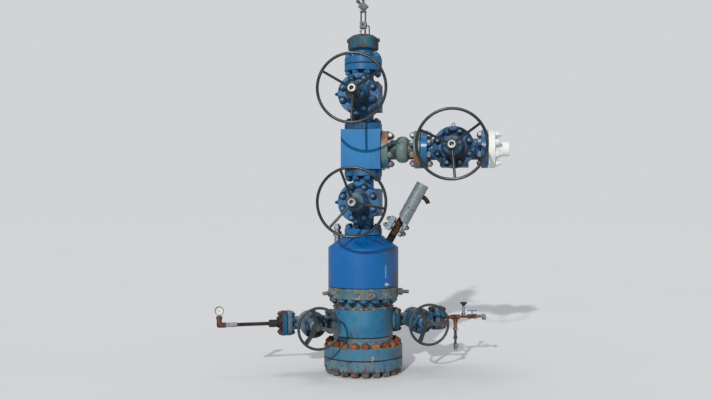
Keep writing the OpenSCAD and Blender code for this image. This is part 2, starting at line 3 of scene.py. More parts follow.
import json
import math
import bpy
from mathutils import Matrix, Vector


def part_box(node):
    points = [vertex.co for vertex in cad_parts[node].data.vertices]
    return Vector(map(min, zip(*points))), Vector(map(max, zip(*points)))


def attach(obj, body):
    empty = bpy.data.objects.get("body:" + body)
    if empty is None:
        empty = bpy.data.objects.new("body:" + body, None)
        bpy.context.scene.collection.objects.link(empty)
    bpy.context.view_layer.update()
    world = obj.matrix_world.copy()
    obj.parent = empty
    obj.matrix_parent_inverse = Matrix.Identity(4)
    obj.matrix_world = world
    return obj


bl_info = {
    "name": "Wellhead Valve Stack",
    "version": (1, 0, 0),
    "blender": (4, 5, 0),
    "location": "View3D > Sidebar > Valve Stack",
    "description": "Adds studs, nuts, screws, the dial and weathered finishes to the valve stack",
    "category": "Add Mesh",
}

import bpy
from bpy.props import FloatProperty, FloatVectorProperty, IntProperty, PointerProperty
from mathutils import Matrix, Vector

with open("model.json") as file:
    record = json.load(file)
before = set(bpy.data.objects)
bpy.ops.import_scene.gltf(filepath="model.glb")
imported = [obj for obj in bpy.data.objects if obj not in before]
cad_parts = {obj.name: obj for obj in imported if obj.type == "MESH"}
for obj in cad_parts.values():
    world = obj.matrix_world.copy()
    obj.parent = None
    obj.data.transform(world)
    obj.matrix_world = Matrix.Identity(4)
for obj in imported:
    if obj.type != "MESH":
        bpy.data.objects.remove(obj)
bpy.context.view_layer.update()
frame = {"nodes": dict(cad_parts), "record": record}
MM = 0.001
TREE = "tree"
LARGE_VALVES = ("master", "swab", "wing")
SIDES = ("left", "right")


def srgb(red, green, blue):
    """A colour read off a screen, 0 to 255, as the linear value that a shader takes."""
    parts = (red / 255, green / 255, blue / 255)
    return tuple(p / 12.92 if p <= 0.04045 else ((p + 0.055) / 1.055) ** 2.4 for p in parts)


def shade(share, values):
    """Each value times one share, such as a darker or lighter kind of a colour."""
    return tuple(share * value for value in values)


# ---------------------------------------------------------------- sizes and colours


def length(name, text, metres):
    return FloatProperty(name=name, description=text, default=metres, min=0.0, unit="LENGTH")


def colour(name, text, value):
    return FloatVectorProperty(
        name=name, description=text, default=value, size=3, subtype="COLOR", min=0.0, max=1.0
    )


class StackSizes(bpy.types.PropertyGroup):
    """Sizes of the bolting and of the flanges that it clamps."""

    base_flange_t: length("Base flange", "Thickness of each base flange", 87.4 * MM)
    base_circle: length("Base bolt circle", "Radius of the base flanges' bolt circle", 266.7 * MM)
    top_flange_t: length("Spool top flange", "Thickness of the spool's top flange", 82 * MM)
    top_circle: length("Top bolt circle", "Radius of the top flange's bolt circle", 234.95 * MM)
    big_nut: length("Big nut", "Width across flats of a base flange nut", 55.6 * MM)
    valve_flange_t: length("Valve flange", "Thickness of a large valve's flange", 52.4 * MM)
    valve_circle: length("Valve bolt circle", "Radius of that flange's bolt circle", 117.5 * MM)
    valve_nut: length("Valve nut", "Width across flats of that flange's nut", 46 * MM)
    arm_nut: length("Arm nut", "Width across flats of a nut on the arm", 42 * MM)
    bonnet_circle: length("Bonnet bolt circle", "Radius of a large bonnet's circle", 124 * MM)
    bonnet_nut: length("Bonnet nut", "Width across flats of a large bonnet's nut", 42 * MM)
    bonnet_face: length("Bonnet face", "From a large valve's axis to its bonnet's front", 265 * MM)
    side_len: length("Side valve", "Length of a side valve from face to face", 371 * MM)
    side_flange_t: length("Side flange", "Thickness of a side valve's flange", 36.5 * MM)
    side_circle: length("Side bolt circle", "Radius of that flange's bolt circle", 74.6 * MM)
    side_nut: length("Side nut", "Width across flats of that flange's nut", 31.8 * MM)
    side_bonnet_circle: length("Side bonnet circle", "Radius of its bolt circle", 77 * MM)
    side_bonnet_nut: length("Side bonnet nut", "Width across flats of its nut", 27 * MM)
    side_face: length("Side bonnet face", "From a side valve's axis to it", 168 * MM)
    clamp_nut: length("Clamp nut", "Width across flats of a clamp nut", 27 * MM)
    feed_tilt: FloatProperty(
        name="Feedthrough lean",
        description="Lean of the shield tube from upright",
        default=math.radians(29),
        subtype="ANGLE",
    )
    base_turn: FloatProperty(
        name="Base studs' turn",
        description="Turn of the lower studs from their usual place astride the centre lines",
        default=math.radians(3),
        subtype="ANGLE",
    )
    base_studs: IntProperty(name="Base studs", description="Studs in the base", default=20, min=8)
    top_studs: IntProperty(name="Top studs", description="Studs under the can", default=16, min=8)
    valve_studs: IntProperty(name="Valve studs", description="Studs a flange", default=8, min=4)


class StackColours(bpy.types.PropertyGroup):
    """Colours of the paints, metals and rust."""

    blue: colour("Stack blue", "Paint of the valves and the tee block", srgb(26, 96, 144))
    bright_blue: colour("Block blue", "Fresher paint of the tee block", srgb(6, 102, 158))
    can_blue: colour("Can blue", "Paint of the adapter can", srgb(4, 87, 150))
    faded_blue: colour("Faded blue", "Weathered paint of the lower spool", srgb(28, 98, 134))
    worn_green: colour("Worn green", "Bare, oily flange steel", srgb(92, 106, 102))
    rust: colour("Rust", "Orange-brown rust", srgb(130, 76, 50))
    dark_rust: colour("Dark rust", "Old, dark rust", srgb(60, 42, 34))
    # This colour also stands for painted shade in several finishes.
    grime_and_shade: colour("Grime", "Oil and soot", srgb(32, 32, 33))
    dust: colour("Dust", "Pale dust", srgb(168, 160, 146))
    steel: colour("Steel", "Bare bright steel", srgb(164, 168, 172))
    zinc: colour("Zinc", "Dull galvanized steel", srgb(126, 138, 144))
    wheel: colour("Wheel black", "Worn black paint of the wheels", srgb(20, 23, 24))
    white: colour("White", "Fresh white paint", srgb(214, 218, 218))
    rubber: colour("Rubber", "Black rubber", srgb(24, 24, 25))


class StageSizes(bpy.types.PropertyGroup):
    """The camera and the plain studio round the stack."""

    distance: length("Camera distance", "From the camera to the stack's axis", 6.4)
    height: length("Camera height", "Height of the level camera", 1.30)
    azimuth: FloatProperty(
        name="Camera turn",
        description="Turn of the camera round the stack, from the front towards the flow arm",
        default=math.radians(8.4),
        subtype="ANGLE",
    )
    lens: FloatProperty(name="Lens", description="Focal length in millimetres", default=41.41)
    floor_size: length("Floor", "Edge of the floor", 120.0)


# ---------------------------------------------------------------- node materials


class Finish:
    """A surface finish under construction. Each method adds one or two nodes."""

    def __init__(self, name, metal=0.0, specular=0.5):
        self.material = bpy.data.materials.new(name)
        self.material.use_nodes = True
        self.tree = self.material.node_tree
        self.tree.nodes.clear()
        self.shader = self.tree.nodes.new("ShaderNodeBsdfPrincipled")
        self.shader.inputs["Metallic"].default_value = metal
        self.shader.inputs["Specular IOR Level"].default_value = specular
        output = self.tree.nodes.new("ShaderNodeOutputMaterial")
        self.tree.links.new(self.shader.outputs["BSDF"], output.inputs["Surface"])
        self.place = self.tree.nodes.new("ShaderNodeTexCoord")
        self.count = 0

    def feed(self, socket, value):
        """Links a socket, or sets a number or colour."""
        if isinstance(value, bpy.types.NodeSocket):
            self.tree.links.new(value, socket)
        elif isinstance(value, (tuple, list)) or hasattr(value, "__len__"):
            socket.default_value = (*value[:3], 1.0) if len(socket.default_value) == 4 else value
        else:
            socket.default_value = value

    def maths(self, operation, first, second=0.0, clamp=False):
        node = self.tree.nodes.new("ShaderNodeMath")
        node.operation = operation
        node.use_clamp = clamp
        self.feed(node.inputs[0], first)
        self.feed(node.inputs[1], second)
        return node.outputs[0]

    def times(self, first, second):
        return self.maths("MULTIPLY", first, second)

    def plus(self, first, second, clamp=False):
        return self.maths("ADD", first, second, clamp)

    def minus(self, first, second):
        return self.maths("SUBTRACT", first, second)

    def either(self, first, second):
        return self.maths("MAXIMUM", first, second)

    def part(self, kind, axis):
        """One axis of the object's own coordinates, or of its normal."""
        node = self.tree.nodes.new("ShaderNodeSeparateXYZ")
        self.tree.links.new(self.place.outputs[kind], node.inputs[0])
        return node.outputs[axis]

    def where(self, axis):
        return self.part("Object", axis)

    def facing(self, axis):
        return self.part("Normal", axis)

    def noise(self, scale, detail=5.0, rough=0.55, stretch=(1, 1, 1)):
        """Cloudy noise in metres of the object; each call gets its own patch of it."""
        self.count += 1
        move = self.tree.nodes.new("ShaderNodeMapping")
        move.inputs["Location"].default_value = shade(self.count, (3.1, 1.7, 0.9))
        move.inputs["Scale"].default_value = stretch
        self.tree.links.new(self.place.outputs["Object"], move.inputs["Vector"])
        node = self.tree.nodes.new("ShaderNodeTexNoise")
        node.inputs["Scale"].default_value = scale
        node.inputs["Detail"].default_value = detail
        node.inputs["Roughness"].default_value = rough
        self.tree.links.new(move.outputs["Vector"], node.inputs["Vector"])
        return node.outputs["Fac"]

    def rise(self, value, low, high, top=1.0):
        """0 below low, top above high, smooth between them."""
        node = self.tree.nodes.new("ShaderNodeMapRange")
        node.interpolation_type = "SMOOTHSTEP"
        self.feed(node.inputs["Value"], value)
        node.inputs["From Min"].default_value = low
        node.inputs["From Max"].default_value = high
        node.inputs["To Max"].default_value = top
        return node.outputs["Result"]

    def fall(self, value, low, high):
        """1 below low, 0 above high, smooth between them."""
        return self.minus(1.0, self.rise(value, low, high))

    def band(self, value, low, high, soft):
        """1 between low and high."""
        return self.times(self.rise(value, low - soft, low), self.fall(value, high, high + soft))

    def patches(self, scale, detail, low, high, top=1.0, rough=0.55, stretch=(1, 1, 1)):
        """Soft patches of noise: 0 where it is under low, top where it is over high."""
        return self.rise(self.noise(scale, detail, rough, stretch), low, high, top)

    def mottle(self, first, second, *patches):
        """The first colour with patches of the second."""
        return self.blend(self.patches(*patches), first, second)

    def grain(self, least, scale, swing):
        """Roughness that wavers from least upwards."""
        return self.plus(least, self.times(self.noise(scale), swing), clamp=True)

    def blend(self, share, first, second):
        """Colour that goes from first to second."""
        node = self.tree.nodes.new("ShaderNodeMix")
        node.data_type = "RGBA"
        self.feed(node.inputs["Factor"], share)
        self.feed(node.inputs[6], first)
        self.feed(node.inputs[7], second)
        return node.outputs[2]

    def near(self, centre, reach):
        """1 close to a point, 0 beyond a reach that is given for each axis."""
        total = 0.0
        for axis in range(3):
            off = self.maths("DIVIDE", self.minus(self.where(axis), centre[axis]), reach[axis])
            total = self.plus(self.times(off, off), total)
        return self.fall(total, 0.5, 1.1)

    def chamfer(self, axis, from_centre=None, beyond=0.0):
        """The turned edges of a flange about that axis: faces that lean 45 degrees."""
        lean = self.maths("ABSOLUTE", self.facing(axis))
        off = self.maths("ABSOLUTE", self.minus(lean, math.sqrt(0.5)))
        edge = self.fall(off, 0.03, 0.08)
        if from_centre is None:
            return edge
        away = self.maths("ABSOLUTE", self.minus(self.where(axis), from_centre))
        return self.times(edge, self.rise(away, beyond - 0.004, beyond))

    def done(self, base, roughness, height=None, depth=0.001, strength=0.5):
        self.feed(self.shader.inputs["Base Color"], base)
        self.feed(self.shader.inputs["Roughness"], roughness)
        if height is not None:
            bump = self.tree.nodes.new("ShaderNodeBump")
            bump.inputs["Strength"].default_value = strength
            bump.inputs["Distance"].default_value = depth
            self.feed(bump.inputs["Height"], height)
            self.tree.links.new(bump.outputs["Normal"], self.shader.inputs["Normal"])
        return self.material


def paint(name, look, fresh, faded=None, rust=0.3, grime_and_shade=0.3, gloss=0.35, edges=(), more_dirt_and_shade=None):
    """Weathered paint: patchy fade, runs of dirt, chips of rust, rust along worn edges, and painted
    shade underneath.
    """
    made = Finish(name, specular=0.28)
    faded = faded or tuple(0.92 * c + 0.05 * d for c, d in zip(fresh, look.dust))
    base = made.mottle(fresh, faded, 5, 6, 0.38, 0.74, 0.8)
    deep = shade(0.55, fresh)
    base = made.mottle(base, deep, 42, 4, 0.45, 0.8, 0.2 + 0.5 * grime_and_shade)
    patch = made.patches(3.2, 5, 0.36, 0.62)
    runs = made.times(made.noise(26, 5, 0.6, (1, 1, 0.13)), patch)
    dirt_and_shade = made.rise(runs, 0.36 - 0.1 * grime_and_shade, 0.64 - 0.16 * grime_and_shade, min(1.0, 1.7 * grime_and_shade))
    oily = made.patches(8, 7, 0.66 - 0.14 * grime_and_shade, 0.78 - 0.14 * grime_and_shade, min(1.0, 1.5 * grime_and_shade), 0.66)
    dirt_and_shade = made.either(dirt_and_shade, oily)
    # Painted shade: faces that look down are darkened, in patches.
    under = made.rise(made.times(made.facing(2), -1.0), 0.15, 0.85, min(0.85, 1.5 * grime_and_shade))
    dirt_and_shade = made.either(dirt_and_shade, made.times(under, made.patches(9, 5, 0.25, 0.55)))
    # A caller may add a mask of more dirt and painted shade.
    if more_dirt_and_shade:
        dirt_and_shade = made.either(dirt_and_shade, more_dirt_and_shade(made))
    base = made.blend(dirt_and_shade, base, look.grime_and_shade)
    settled = made.patches(14, 5, 0.35, 0.65, 0.44)
    settled = made.times(made.rise(made.facing(2), 0.55, 0.95), settled)
    base = made.blend(settled, base, look.dust)
    grain = made.noise(65, 7, 0.68)
    flaw = made.plus(grain, made.times(made.noise(4), 0.55))
    chips = made.rise(flaw, 1.00 - 0.16 * rust, 1.06 - 0.16 * rust)
    for edge in edges:
        broken = made.patches(9, 5, 0.50 - 0.12 * rust, 0.60 - 0.12 * rust)
        worn = made.patches(60, 6, 0.42, 0.56, 1, 0.7)
        chips = made.either(chips, made.times(edge(made), made.times(broken, worn)))
    tone = made.mottle(look.rust, look.dark_rust, 48, 5, 0.34, 0.60)
    base = made.blend(chips, base, tone)
    rough = made.plus(made.rise(made.plus(chips, dirt_and_shade), 0.0, 1.0, 0.42), gloss)
    rough = made.plus(rough, made.times(made.noise(30), 0.16), clamp=True)
    pits = made.times(chips, made.minus(1.2, grain))
    height = made.minus(made.times(made.noise(220, 3), 0.25), pits)
    return made.done(base, rough, height, 0.0012, 0.55)


def smooth_paint(made, fresh):
    """Colour of paint that is nearly sound: clouds, faint streaks, and small pale scars."""
    base = made.mottle(fresh, shade(1.25, fresh), 3, 4, 0.35, 0.7)
    base = made.mottle(base, shade(0.6, fresh), 30, 4, 0.5, 0.85, 0.25)
    runs = made.noise(18, 5, 0.6, (1, 1, 0.1))
    base = made.blend(made.rise(runs, 0.55, 0.75, 0.35), base, shade(0.35, fresh))
    scars = made.patches(48, 7, 0.71, 0.75, 0.9, 0.72, (1, 1, 2.2))
    return made.blend(scars, base, srgb(150, 178, 204))


def rusted(name, look, paint_left=None, share=0.3, pale=0.2, warm=1.0):
    """Rusty steel, with patches of the paint that is left on it."""
    made = Finish(name, specular=0.3)
    rust = shade(warm, look.rust)
    cloud = made.noise(16, 7, 0.65)
    base = made.blend(made.rise(cloud, 0.35, 0.68), rust, look.dark_rust)
    base = made.mottle(base, shade(1.5, rust), 55, 5, 0.52, 0.7, 0.7, 0.7)
    base = made.mottle(base, look.dust, 9, 6, 0.6 - 0.1 * pale, 0.75, 0.8 * pale + 0.2)
    scale = made.noise(120, 6, 0.7)
    if paint_left:
        left = made.patches(7, 7, 0.66 - 0.3 * share, 0.72 - 0.3 * share, 1, 0.62)
        base = made.blend(left, base, paint_left)
        scale = made.plus(scale, made.times(left, 0.5))
    rough = made.grain(0.72, 40, 0.25)
    height = made.plus(made.times(scale, 0.7), made.times(cloud, 0.6))
    return made.done(base, rough, height, 0.0016, 0.8)


def metal(name, look, base, dull=0.35, stain=0.3):
    """Bare or plated steel: fine scratches, dull patches and stains."""
    made = Finish(name, metal=0.85)
    dark = shade(0.55, base)
    tone = made.mottle(base, dark, 18, 6, 0.32, 0.7)
    spots = made.patches(48, 6, 0.72 - 0.25 * stain, 0.84 - 0.25 * stain, 0.85, 0.7)
    tone = made.blend(spots, tone, look.dark_rust)
    lines = made.noise(240, 3, 0.6)
    rough = made.plus(made.times(lines, 0.25), made.rise(spots, 0.0, 1.0, 0.4))
    rough = made.plus(rough, dull, clamp=True)
    return made.done(tone, rough, made.plus(lines, made.times(spots, 0.6)), 0.0005, 0.4)


def wheel_paint(name, look, worn=0.5, black=None, olive=None, least_rough=0.22):
    """Black paint rubbed down to bright steel where hands grip it, with dust on top."""
    made = Finish(name, metal=0.1, specular=0.5)
    base = made.mottle(black or look.wheel, olive or srgb(38, 40, 38), 9, 5, 0.4, 0.7)
    rubbed = made.patches(34, 6, 0.70 - 0.12 * worn, 0.84 - 0.12 * worn, 0.8, 0.68)
    front = made.rise(made.times(made.facing(1), -1.0), 0.2, 0.95)
    rubbed = made.times(rubbed, made.plus(0.3, made.times(front, 0.7)))
    base = made.blend(rubbed, base, srgb(124, 124, 116))
    chips = made.patches(22, 6, 0.68, 0.74, 0.8, 0.65)
    base = made.blend(chips, base, look.dark_rust)
    top = made.times(made.rise(made.facing(2), 0.4, 0.95), made.patches(20, 5, 0.4, 0.62, 0.35))
    base = made.blend(top, base, look.dust)
    rough = made.plus(made.patches(16, 5, 0.35, 0.7, 0.22), least_rough)
    return made.done(base, rough, made.minus(made.times(made.noise(150), 0.3), chips), 0.0005, 0.4)


def dress(node, material):
    """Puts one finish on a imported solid."""
    data = frame["nodes"][node].data
    data.materials.clear()
    data.materials.append(material)


# ---------------------------------------------------------------- mesh building


def lathe(points, segments=24):
    """A closed solid turned about Z from [radius, height] points that start and end on the axis."""
    verts, faces, rings = [], [], []
    for radius, height in points:
        if radius == 0:
            rings.append([len(verts)])
            verts.append((0, 0, height))
        else:
            rings.append(list(range(len(verts), len(verts) + segments)))
            for k in range(segments):
                turn = 2 * math.pi * k / segments
                verts.append((radius * math.cos(turn), radius * math.sin(turn), height))
    for low, high in zip(rings, rings[1:]):
        for k in range(segments):
            after = (k + 1) % segments
            if len(low) == 1:
                faces.append((low[0], high[k], high[after]) if len(high) > 1 else ())
            elif len(high) == 1:
                faces.append((low[k], high[0], low[after]))
            else:
                faces.append((low[k], high[k], high[after], low[after]))
    return verts, [tuple(reversed(f)) for f in faces if f]


def nut_shape(across, height, bore):
    """A heavy hexagon nut with its chamfered corners, standing on z = 0."""
    flats, per_flat = 6, 4
    steps = flats * per_flat
    crown = across / 2 * 0.97
    fall = math.tan(math.radians(30))
    lower, upper, top, mouth, floor, foot = [], [], [], [], [], []
    verts = []
    for k in range(steps):
        turn = 2 * math.pi * k / steps
        from_flat = (turn + math.pi / flats) % (2 * math.pi / flats) - math.pi / flats
        radius = across / 2 / math.cos(math.pi / flats - abs(from_flat))
        drop = (radius - crown) * fall
        way = (math.cos(turn), math.sin(turn))
        for ring, r, z in (
            (foot, crown, 0.0),
            (lower, radius, drop),
            (upper, radius, height - drop),
            (top, crown, height),
            (mouth, bore, height),
            (floor, bore, height * 0.9),
        ):
            ring.append(len(verts))
            verts.append((r * way[0], r * way[1], z))
    faces = [tuple(reversed(foot))]
    for low, high in ((foot, lower), (lower, upper), (upper, top), (top, mouth), (mouth, floor)):
        for k in range(steps):
            after = (k + 1) % steps
            faces.append((low[k], low[after], high[after], high[k]))
    faces.append(tuple(floor))
    return verts, faces


def thread_shape(radius, start, end, pitch, segments=16):
    """A threaded rod from start to end, chamfered at its end."""
    points = [(0, start), (radius * 0.93, start)]
    turns = max(1, int((end - start) / pitch))
    for k in range(turns):
        z = start + (k + 0.5) * pitch
        points += [(radius, z), (radius * 0.93, z + pitch * 0.4)]
    points += [(radius * 0.8, end), (0, end)]
    return lathe(points, segments)


def joined(name, parts, material, slot, body=TREE):
    """One piece from (shape, matrix) pairs. It rides on a body. Its slot argument is not used."""
    verts, faces = [], []
    for (shape_verts, shape_faces), matrix in parts:
        start = len(verts)
        verts += [tuple(matrix @ Vector(v)) for v in shape_verts]
        faces += [tuple(start + k for k in face) for face in shape_faces]
    mesh = bpy.data.meshes.new(name)
    mesh.from_pydata(verts, [], faces)
    mesh.validate()
    mesh.materials.append(material)
    made = bpy.data.objects.new(name, mesh)
    bpy.context.scene.collection.objects.link(made)
    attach(made, body)


def circle(count, radius, first, place):
    """Places on a bolt circle about the Z axis of a frame, each with a flat towards the centre."""
    for k in range(count):
        turn = first + 2 * math.pi * k / count
        spot = place @ Matrix.Rotation(turn, 4, "Z") @ Matrix.Translation((radius, 0, 0))
        yield spot @ Matrix.Rotation(math.pi / 6, 4, "Z")


def flipped(place):
    """The same frame, looking back along its Z axis."""
    return place @ Matrix.Rotation(math.pi, 4, "X")


def bolting(place, count, radius, across, first=None, back=0.0, past=None):
    """Nuts on a flange's back, with studs that end past them and reach back through the flange."""
    height = across * 0.61
    stud = across * 0.31
    past = stud * 0.75 if past is None else past
    first = math.pi / count if first is None else first
    nut = nut_shape(across, height, stud * 0.98)
    tip = thread_shape(stud * 0.98, height * 0.88, height + past, stud * 0.17)
    shank = lathe([(0, -back), (stud, -back), (stud, 0.001), (0, 0.001)], 16)
    for spot in circle(count, radius, first, place):
        yield nut, spot
        yield tip, spot
        if back:
            yield shank, spot


def along(axis, place):
    """A frame at place whose Z axis points along axis."""
    return Matrix.Translation(place) @ Vector(axis).to_track_quat("Z", "Y").to_matrix().to_4x4()


def outlet(side):
    """A side valve's middle, the level way out to it, and how far it is from the stack's axis."""
    centre, _ = joint_place(f"{side}_side_wheel_turn")
    level = Vector((centre.x, centre.y, 0))
    return centre, level.normalized(), level.length


def joint_place(name):
    """The point that a joint turns about, and its axis."""
    for joint in frame["record"]["behaviour"]["joints"]:
        if joint["name"] == name:
            return Vector(joint["pos_m"]), Vector(joint["axis"])
    raise ValueError(f"the record has no joint {name}")


# ---------------------------------------------------------------- operators


class Step:
    """Runs build() with the scene's sizes and colours."""

    bl_options = {"REGISTER", "UNDO"}

    def execute(self, context):
        scene = context.scene
        self.build(scene.stack_sizes, scene.stack_colours, scene.stack_stage)
        return {"FINISHED"}


def flange_edges(axis, centre, beyond):
    return lambda made: made.chamfer(axis, centre, beyond)


class STACK_OT_paint_base(Step, bpy.types.Operator):
    """Rust on the casing head flange, faded paint on the spool and its worn top flange"""

    bl_idname = "stack.paint_base"
    bl_label = "Base finishes"

    def build(self, sizes, look, stage):
        dress("casing_head_flange", self.head(look))
        dress("radial_fittings", self.fittings(look))
        dress("tubing_head_spool", self.spool(look))

    def head(self, look):
        """Grey-green, faded paint that rust has taken from the edges and the underside up."""
        made = Finish("head_paint", specular=0.35)
        low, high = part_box("casing_head_flange")
        height = made.where(2)
        base = made.mottle(srgb(64, 106, 132), srgb(98, 118, 118), 7, 6, 0.35, 0.7)
        base = made.mottle(base, srgb(58, 66, 68), 34, 6, 0.46, 0.74, 0.6)
        runs = made.noise(22, 6, 0.62, (1, 1, 0.2))
        foot = made.fall(height, low.z + 0.045, low.z + 0.085)
        lip = made.rise(height, high.z - 0.012, high.z - 0.004)
        near = made.either(made.times(foot, 0.16), made.times(lip, 0.2))
        eaten = made.rise(made.plus(runs, near), 0.57, 0.73, 0.85)
        tone = made.mottle(look.rust, look.dark_rust, 40, 6, 0.28, 0.56)
        base = made.blend(eaten, base, tone)
        dark = made.patches(15, 6, 0.58, 0.7, 0.7, 0.62)
        base = made.blend(dark, base, look.grime_and_shade)
        rough = made.plus(0.55, made.rise(eaten, 0.0, 1.0, 0.3), clamp=True)
        bump = made.minus(made.times(made.noise(120, 6, 0.7), 0.6), made.times(eaten, 0.4))
        return made.done(base, rough, bump, 0.0015, 0.7)

    def fittings(self, look):
        """Rusty lock screws with some paint left on them, between plugs of bright steel."""
        made = Finish("fitting_finish", metal=0.35, specular=0.4)
        _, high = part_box("tubing_head_spool")
        height = made.where(2)
        screws = made.band(height, high.z - 0.10, high.z + 0.004, 0.004)
        old = made.mottle(srgb(134, 142, 152), srgb(86, 92, 96), 24, 6, 0.42, 0.58)
        old = made.mottle(old, look.rust, 30, 6, 0.56, 0.7, 0.8)
        old = made.mottle(old, look.dark_rust, 46, 6, 0.5, 0.7, 0.8)
        up = made.rise(height, high.z - 0.2, high.z)
        bright = made.blend(up, srgb(128, 146, 164), srgb(190, 194, 194))
        plug = made.mottle(bright, look.dark_rust, 50, 5, 0.5, 0.75)
        rough = made.plus(0.34, made.times(screws, 0.34), clamp=True)
        return made.done(made.blend(screws, plug, old), rough, made.noise(140, 5), 0.0008, 0.5)

    def spool(self, look):
        """Faded paint with rust runs; the top flange is worn down to green-grey, oily steel."""
        made = Finish("spool_paint", specular=0.28)
        low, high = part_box("tubing_head_spool")
        height = made.where(2)
        fresh = look.faded_blue
        cloud = made.noise(4.5, 6)
        base = made.blend(made.rise(cloud, 0.32, 0.7), fresh, srgb(56, 116, 148))
        base = made.mottle(base, shade(0.5, fresh), 38, 5, 0.48, 0.78, 0.5)
        flange = made.rise(height, high.z - 0.084, high.z - 0.081)
        lip = made.band(height, low.z + 0.372, low.z + 0.388, 0.003)
        foot = made.fall(height, low.z + 0.086, low.z + 0.088)
        worn = made.mottle(look.worn_green, srgb(52, 98, 120), 14, 6, 0.42, 0.58, 1, 0.6)
        worn = made.mottle(worn, srgb(142, 140, 128), 19, 6, 0.52, 0.66, 0.8, 0.6)
        worn = made.mottle(worn, srgb(60, 66, 66), 27, 6, 0.54, 0.68, 0.8, 0.6)
        base = made.blend(flange, base, worn)
        edge_rust = made.patches(15, 6, 0.46, 0.6, 0.7, 0.66)
        rim = made.times(made.rise(height, high.z - 0.016, high.z - 0.008), edge_rust)
        base = made.blend(rim, base, look.rust)
        runs = made.noise(20, 6, 0.6, (1, 1, 0.16))
        near = made.minus(made.times(foot, 0.03), made.times(flange, 0.12))
        stained = made.rise(made.plus(runs, near), 0.65, 0.78, 0.8)
        tone = made.mottle(look.rust, look.dark_rust, 70, 5, 0.4, 0.62)
        base = made.blend(stained, base, tone)
        foot = made.times(foot, made.patches(12, 5, 0.3, 0.6, 0.7))
        base = made.blend(foot, base, srgb(72, 108, 124))
        line = made.times(lip, made.patches(24, 6, 0.38, 0.5))
        edge = made.times(made.chamfer(2), made.patches(30, 6, 0.42, 0.58))
        tone = made.mottle(srgb(132, 132, 118), look.dark_rust, 24, 5, 0.42, 0.56)
        tone = made.mottle(tone, look.rust, 36, 5, 0.54, 0.64, 0.8)
        base = made.blend(made.either(line, edge), base, tone)
        seat = low.z + 0.0874
        # A paler band just above the seat, in patches.
        pale_band = made.band(height, seat + 0.002, seat + 0.062, 0.006)
        pale_band = made.times(pale_band, made.patches(26, 6, 0.3, 0.6, 0.7))
        base = made.blend(pale_band, base, srgb(118, 138, 144))
        # Painted shadow: a thin dark line at the step above the seat.
        base = made.blend(made.band(height, seat + 0.066, seat + 0.077, 0.002), base, look.grime_and_shade)
        # Painted shade with a brown cast: the side that faces +X is darkened, in patches.
        shaded = made.rise(made.facing(0), 0.66, 0.94)
        shaded = made.times(shaded, made.patches(7, 5, 0.3, 0.6, 0.6))
        base = made.blend(shaded, base, srgb(70, 70, 56))
        dark = made.patches(13, 6, 0.56, 0.72, 0.75, 0.62, (1, 1, 0.4))
        base = made.blend(dark, base, look.grime_and_shade)
        top = made.times(made.rise(made.facing(2), 0.6, 0.95), made.patches(18, 5, 0.3, 0.6, 0.7))
        base = made.blend(top, base, look.dust)
        rough = made.plus(0.42, made.rise(made.either(stained, dark), 0.0, 1.0, 0.35), clamp=True)
        bump = made.minus(made.times(made.noise(150, 4), 0.4), made.times(stained, 0.6))
        return made.done(base, rough, bump, 0.0014, 0.6)


class STACK_OT_paint_can(Step, bpy.types.Operator):
    """Smooth blue paint on the adapter can, and the finishes of both feedthroughs and the shield"""

    bl_idname = "stack.paint_can"
    bl_label = "Can and feedthrough finishes"

    def build(self, sizes, look, stage):
        dress("adapter_can", self.can(look))
        dress("left_feedthrough", metal("fitting_steel", look, look.steel, 0.35, 0.75))
        dress("right_feedthrough", rusted("dark_stub", look, look.wheel, 0.95, 0.0, 0.4))
        clamp = paint("clamp_paint", look, srgb(124, 148, 162), rust=0.6, grime_and_shade=0.65, gloss=0.3)
        dress("clamp_plates", clamp)
        dress("clamp_studs", rusted("stud_rust", look, look.grime_and_shade, 0.6, 0.1, 0.45))
        dress("shield_tube", self.shield(look))
        rubber = Finish("boot_rubber", specular=0.3)
        tone = rubber.mottle(look.rubber, look.grime_and_shade, 25, 5, 0.4, 0.7, 0.5)
        dress("shield_boot", rubber.done(tone, 0.7, rubber.noise(160), 0.0006, 0.5))

    def can(self, look):
        made = Finish("can_paint", specular=0.3)
        fresh = look.can_blue
        base = smooth_paint(made, fresh)
        low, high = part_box("adapter_can")
        turn = math.radians(-43)
        across = made.times(made.where(0), -math.sin(turn))
        across = made.plus(across, made.times(made.where(1), math.cos(turn)))
        sway = made.times(made.minus(made.noise(30, 5), 0.5), 0.03)
        streak = made.band(made.plus(across, sway), -0.004, 0.003, 0.002)
        streak = made.times(streak, made.band(made.where(2), low.z + 0.09, low.z + 0.17, 0.02))
        streak = made.times(streak, made.rise(made.where(0), 0.0, 0.01, 0.75))
        base = made.blend(streak, base, srgb(150, 178, 204))
        cone = made.rise(made.where(2), high.z - 0.10, high.z - 0.04)
        rim = made.times(cone, made.patches(16, 6, 0.5, 0.66))
        base = made.blend(rim, base, shade(0.4, fresh))
        rust = made.times(made.patches(60, 7, 0.68, 0.74, 1, 0.7), made.patches(4, 5, 0.45, 0.6))
        base = made.blend(rust, base, look.rust)
        # Painted shade: the side that faces +X is darkened to a grey-blue, in patches.
        painted_right_shade = made.times(made.rise(made.facing(0), 0.58, 0.9), made.patches(6, 5, 0.25, 0.6, 0.75))
        base = made.blend(painted_right_shade, base, srgb(54, 64, 72))
        rough = made.grain(0.34, 22, 0.2)
        height = made.minus(made.times(made.noise(90, 3), 0.3), made.times(rust, 0.8))
        return made.done(base, rough, height, 0.0008, 0.4)

    def shield(self, look):
        made = Finish("shield_zinc", metal=0.3, specular=0.4)
        spangle = made.noise(38, 2, 0.5)
        base = made.blend(made.rise(spangle, 0.35, 0.65), look.zinc, shade(0.8, look.zinc))
        base = made.mottle(base, srgb(96, 104, 110), 9, 6, 0.5, 0.75, 0.55, 0.6, (1, 1, 0.4))
        base = made.mottle(base, look.dark_rust, 70, 6, 0.68, 0.76, 0.8, 0.7)
        rough = made.grain(0.42, 28, 0.22)
        return made.done(base, rough, made.noise(120), 0.0005, 0.35)


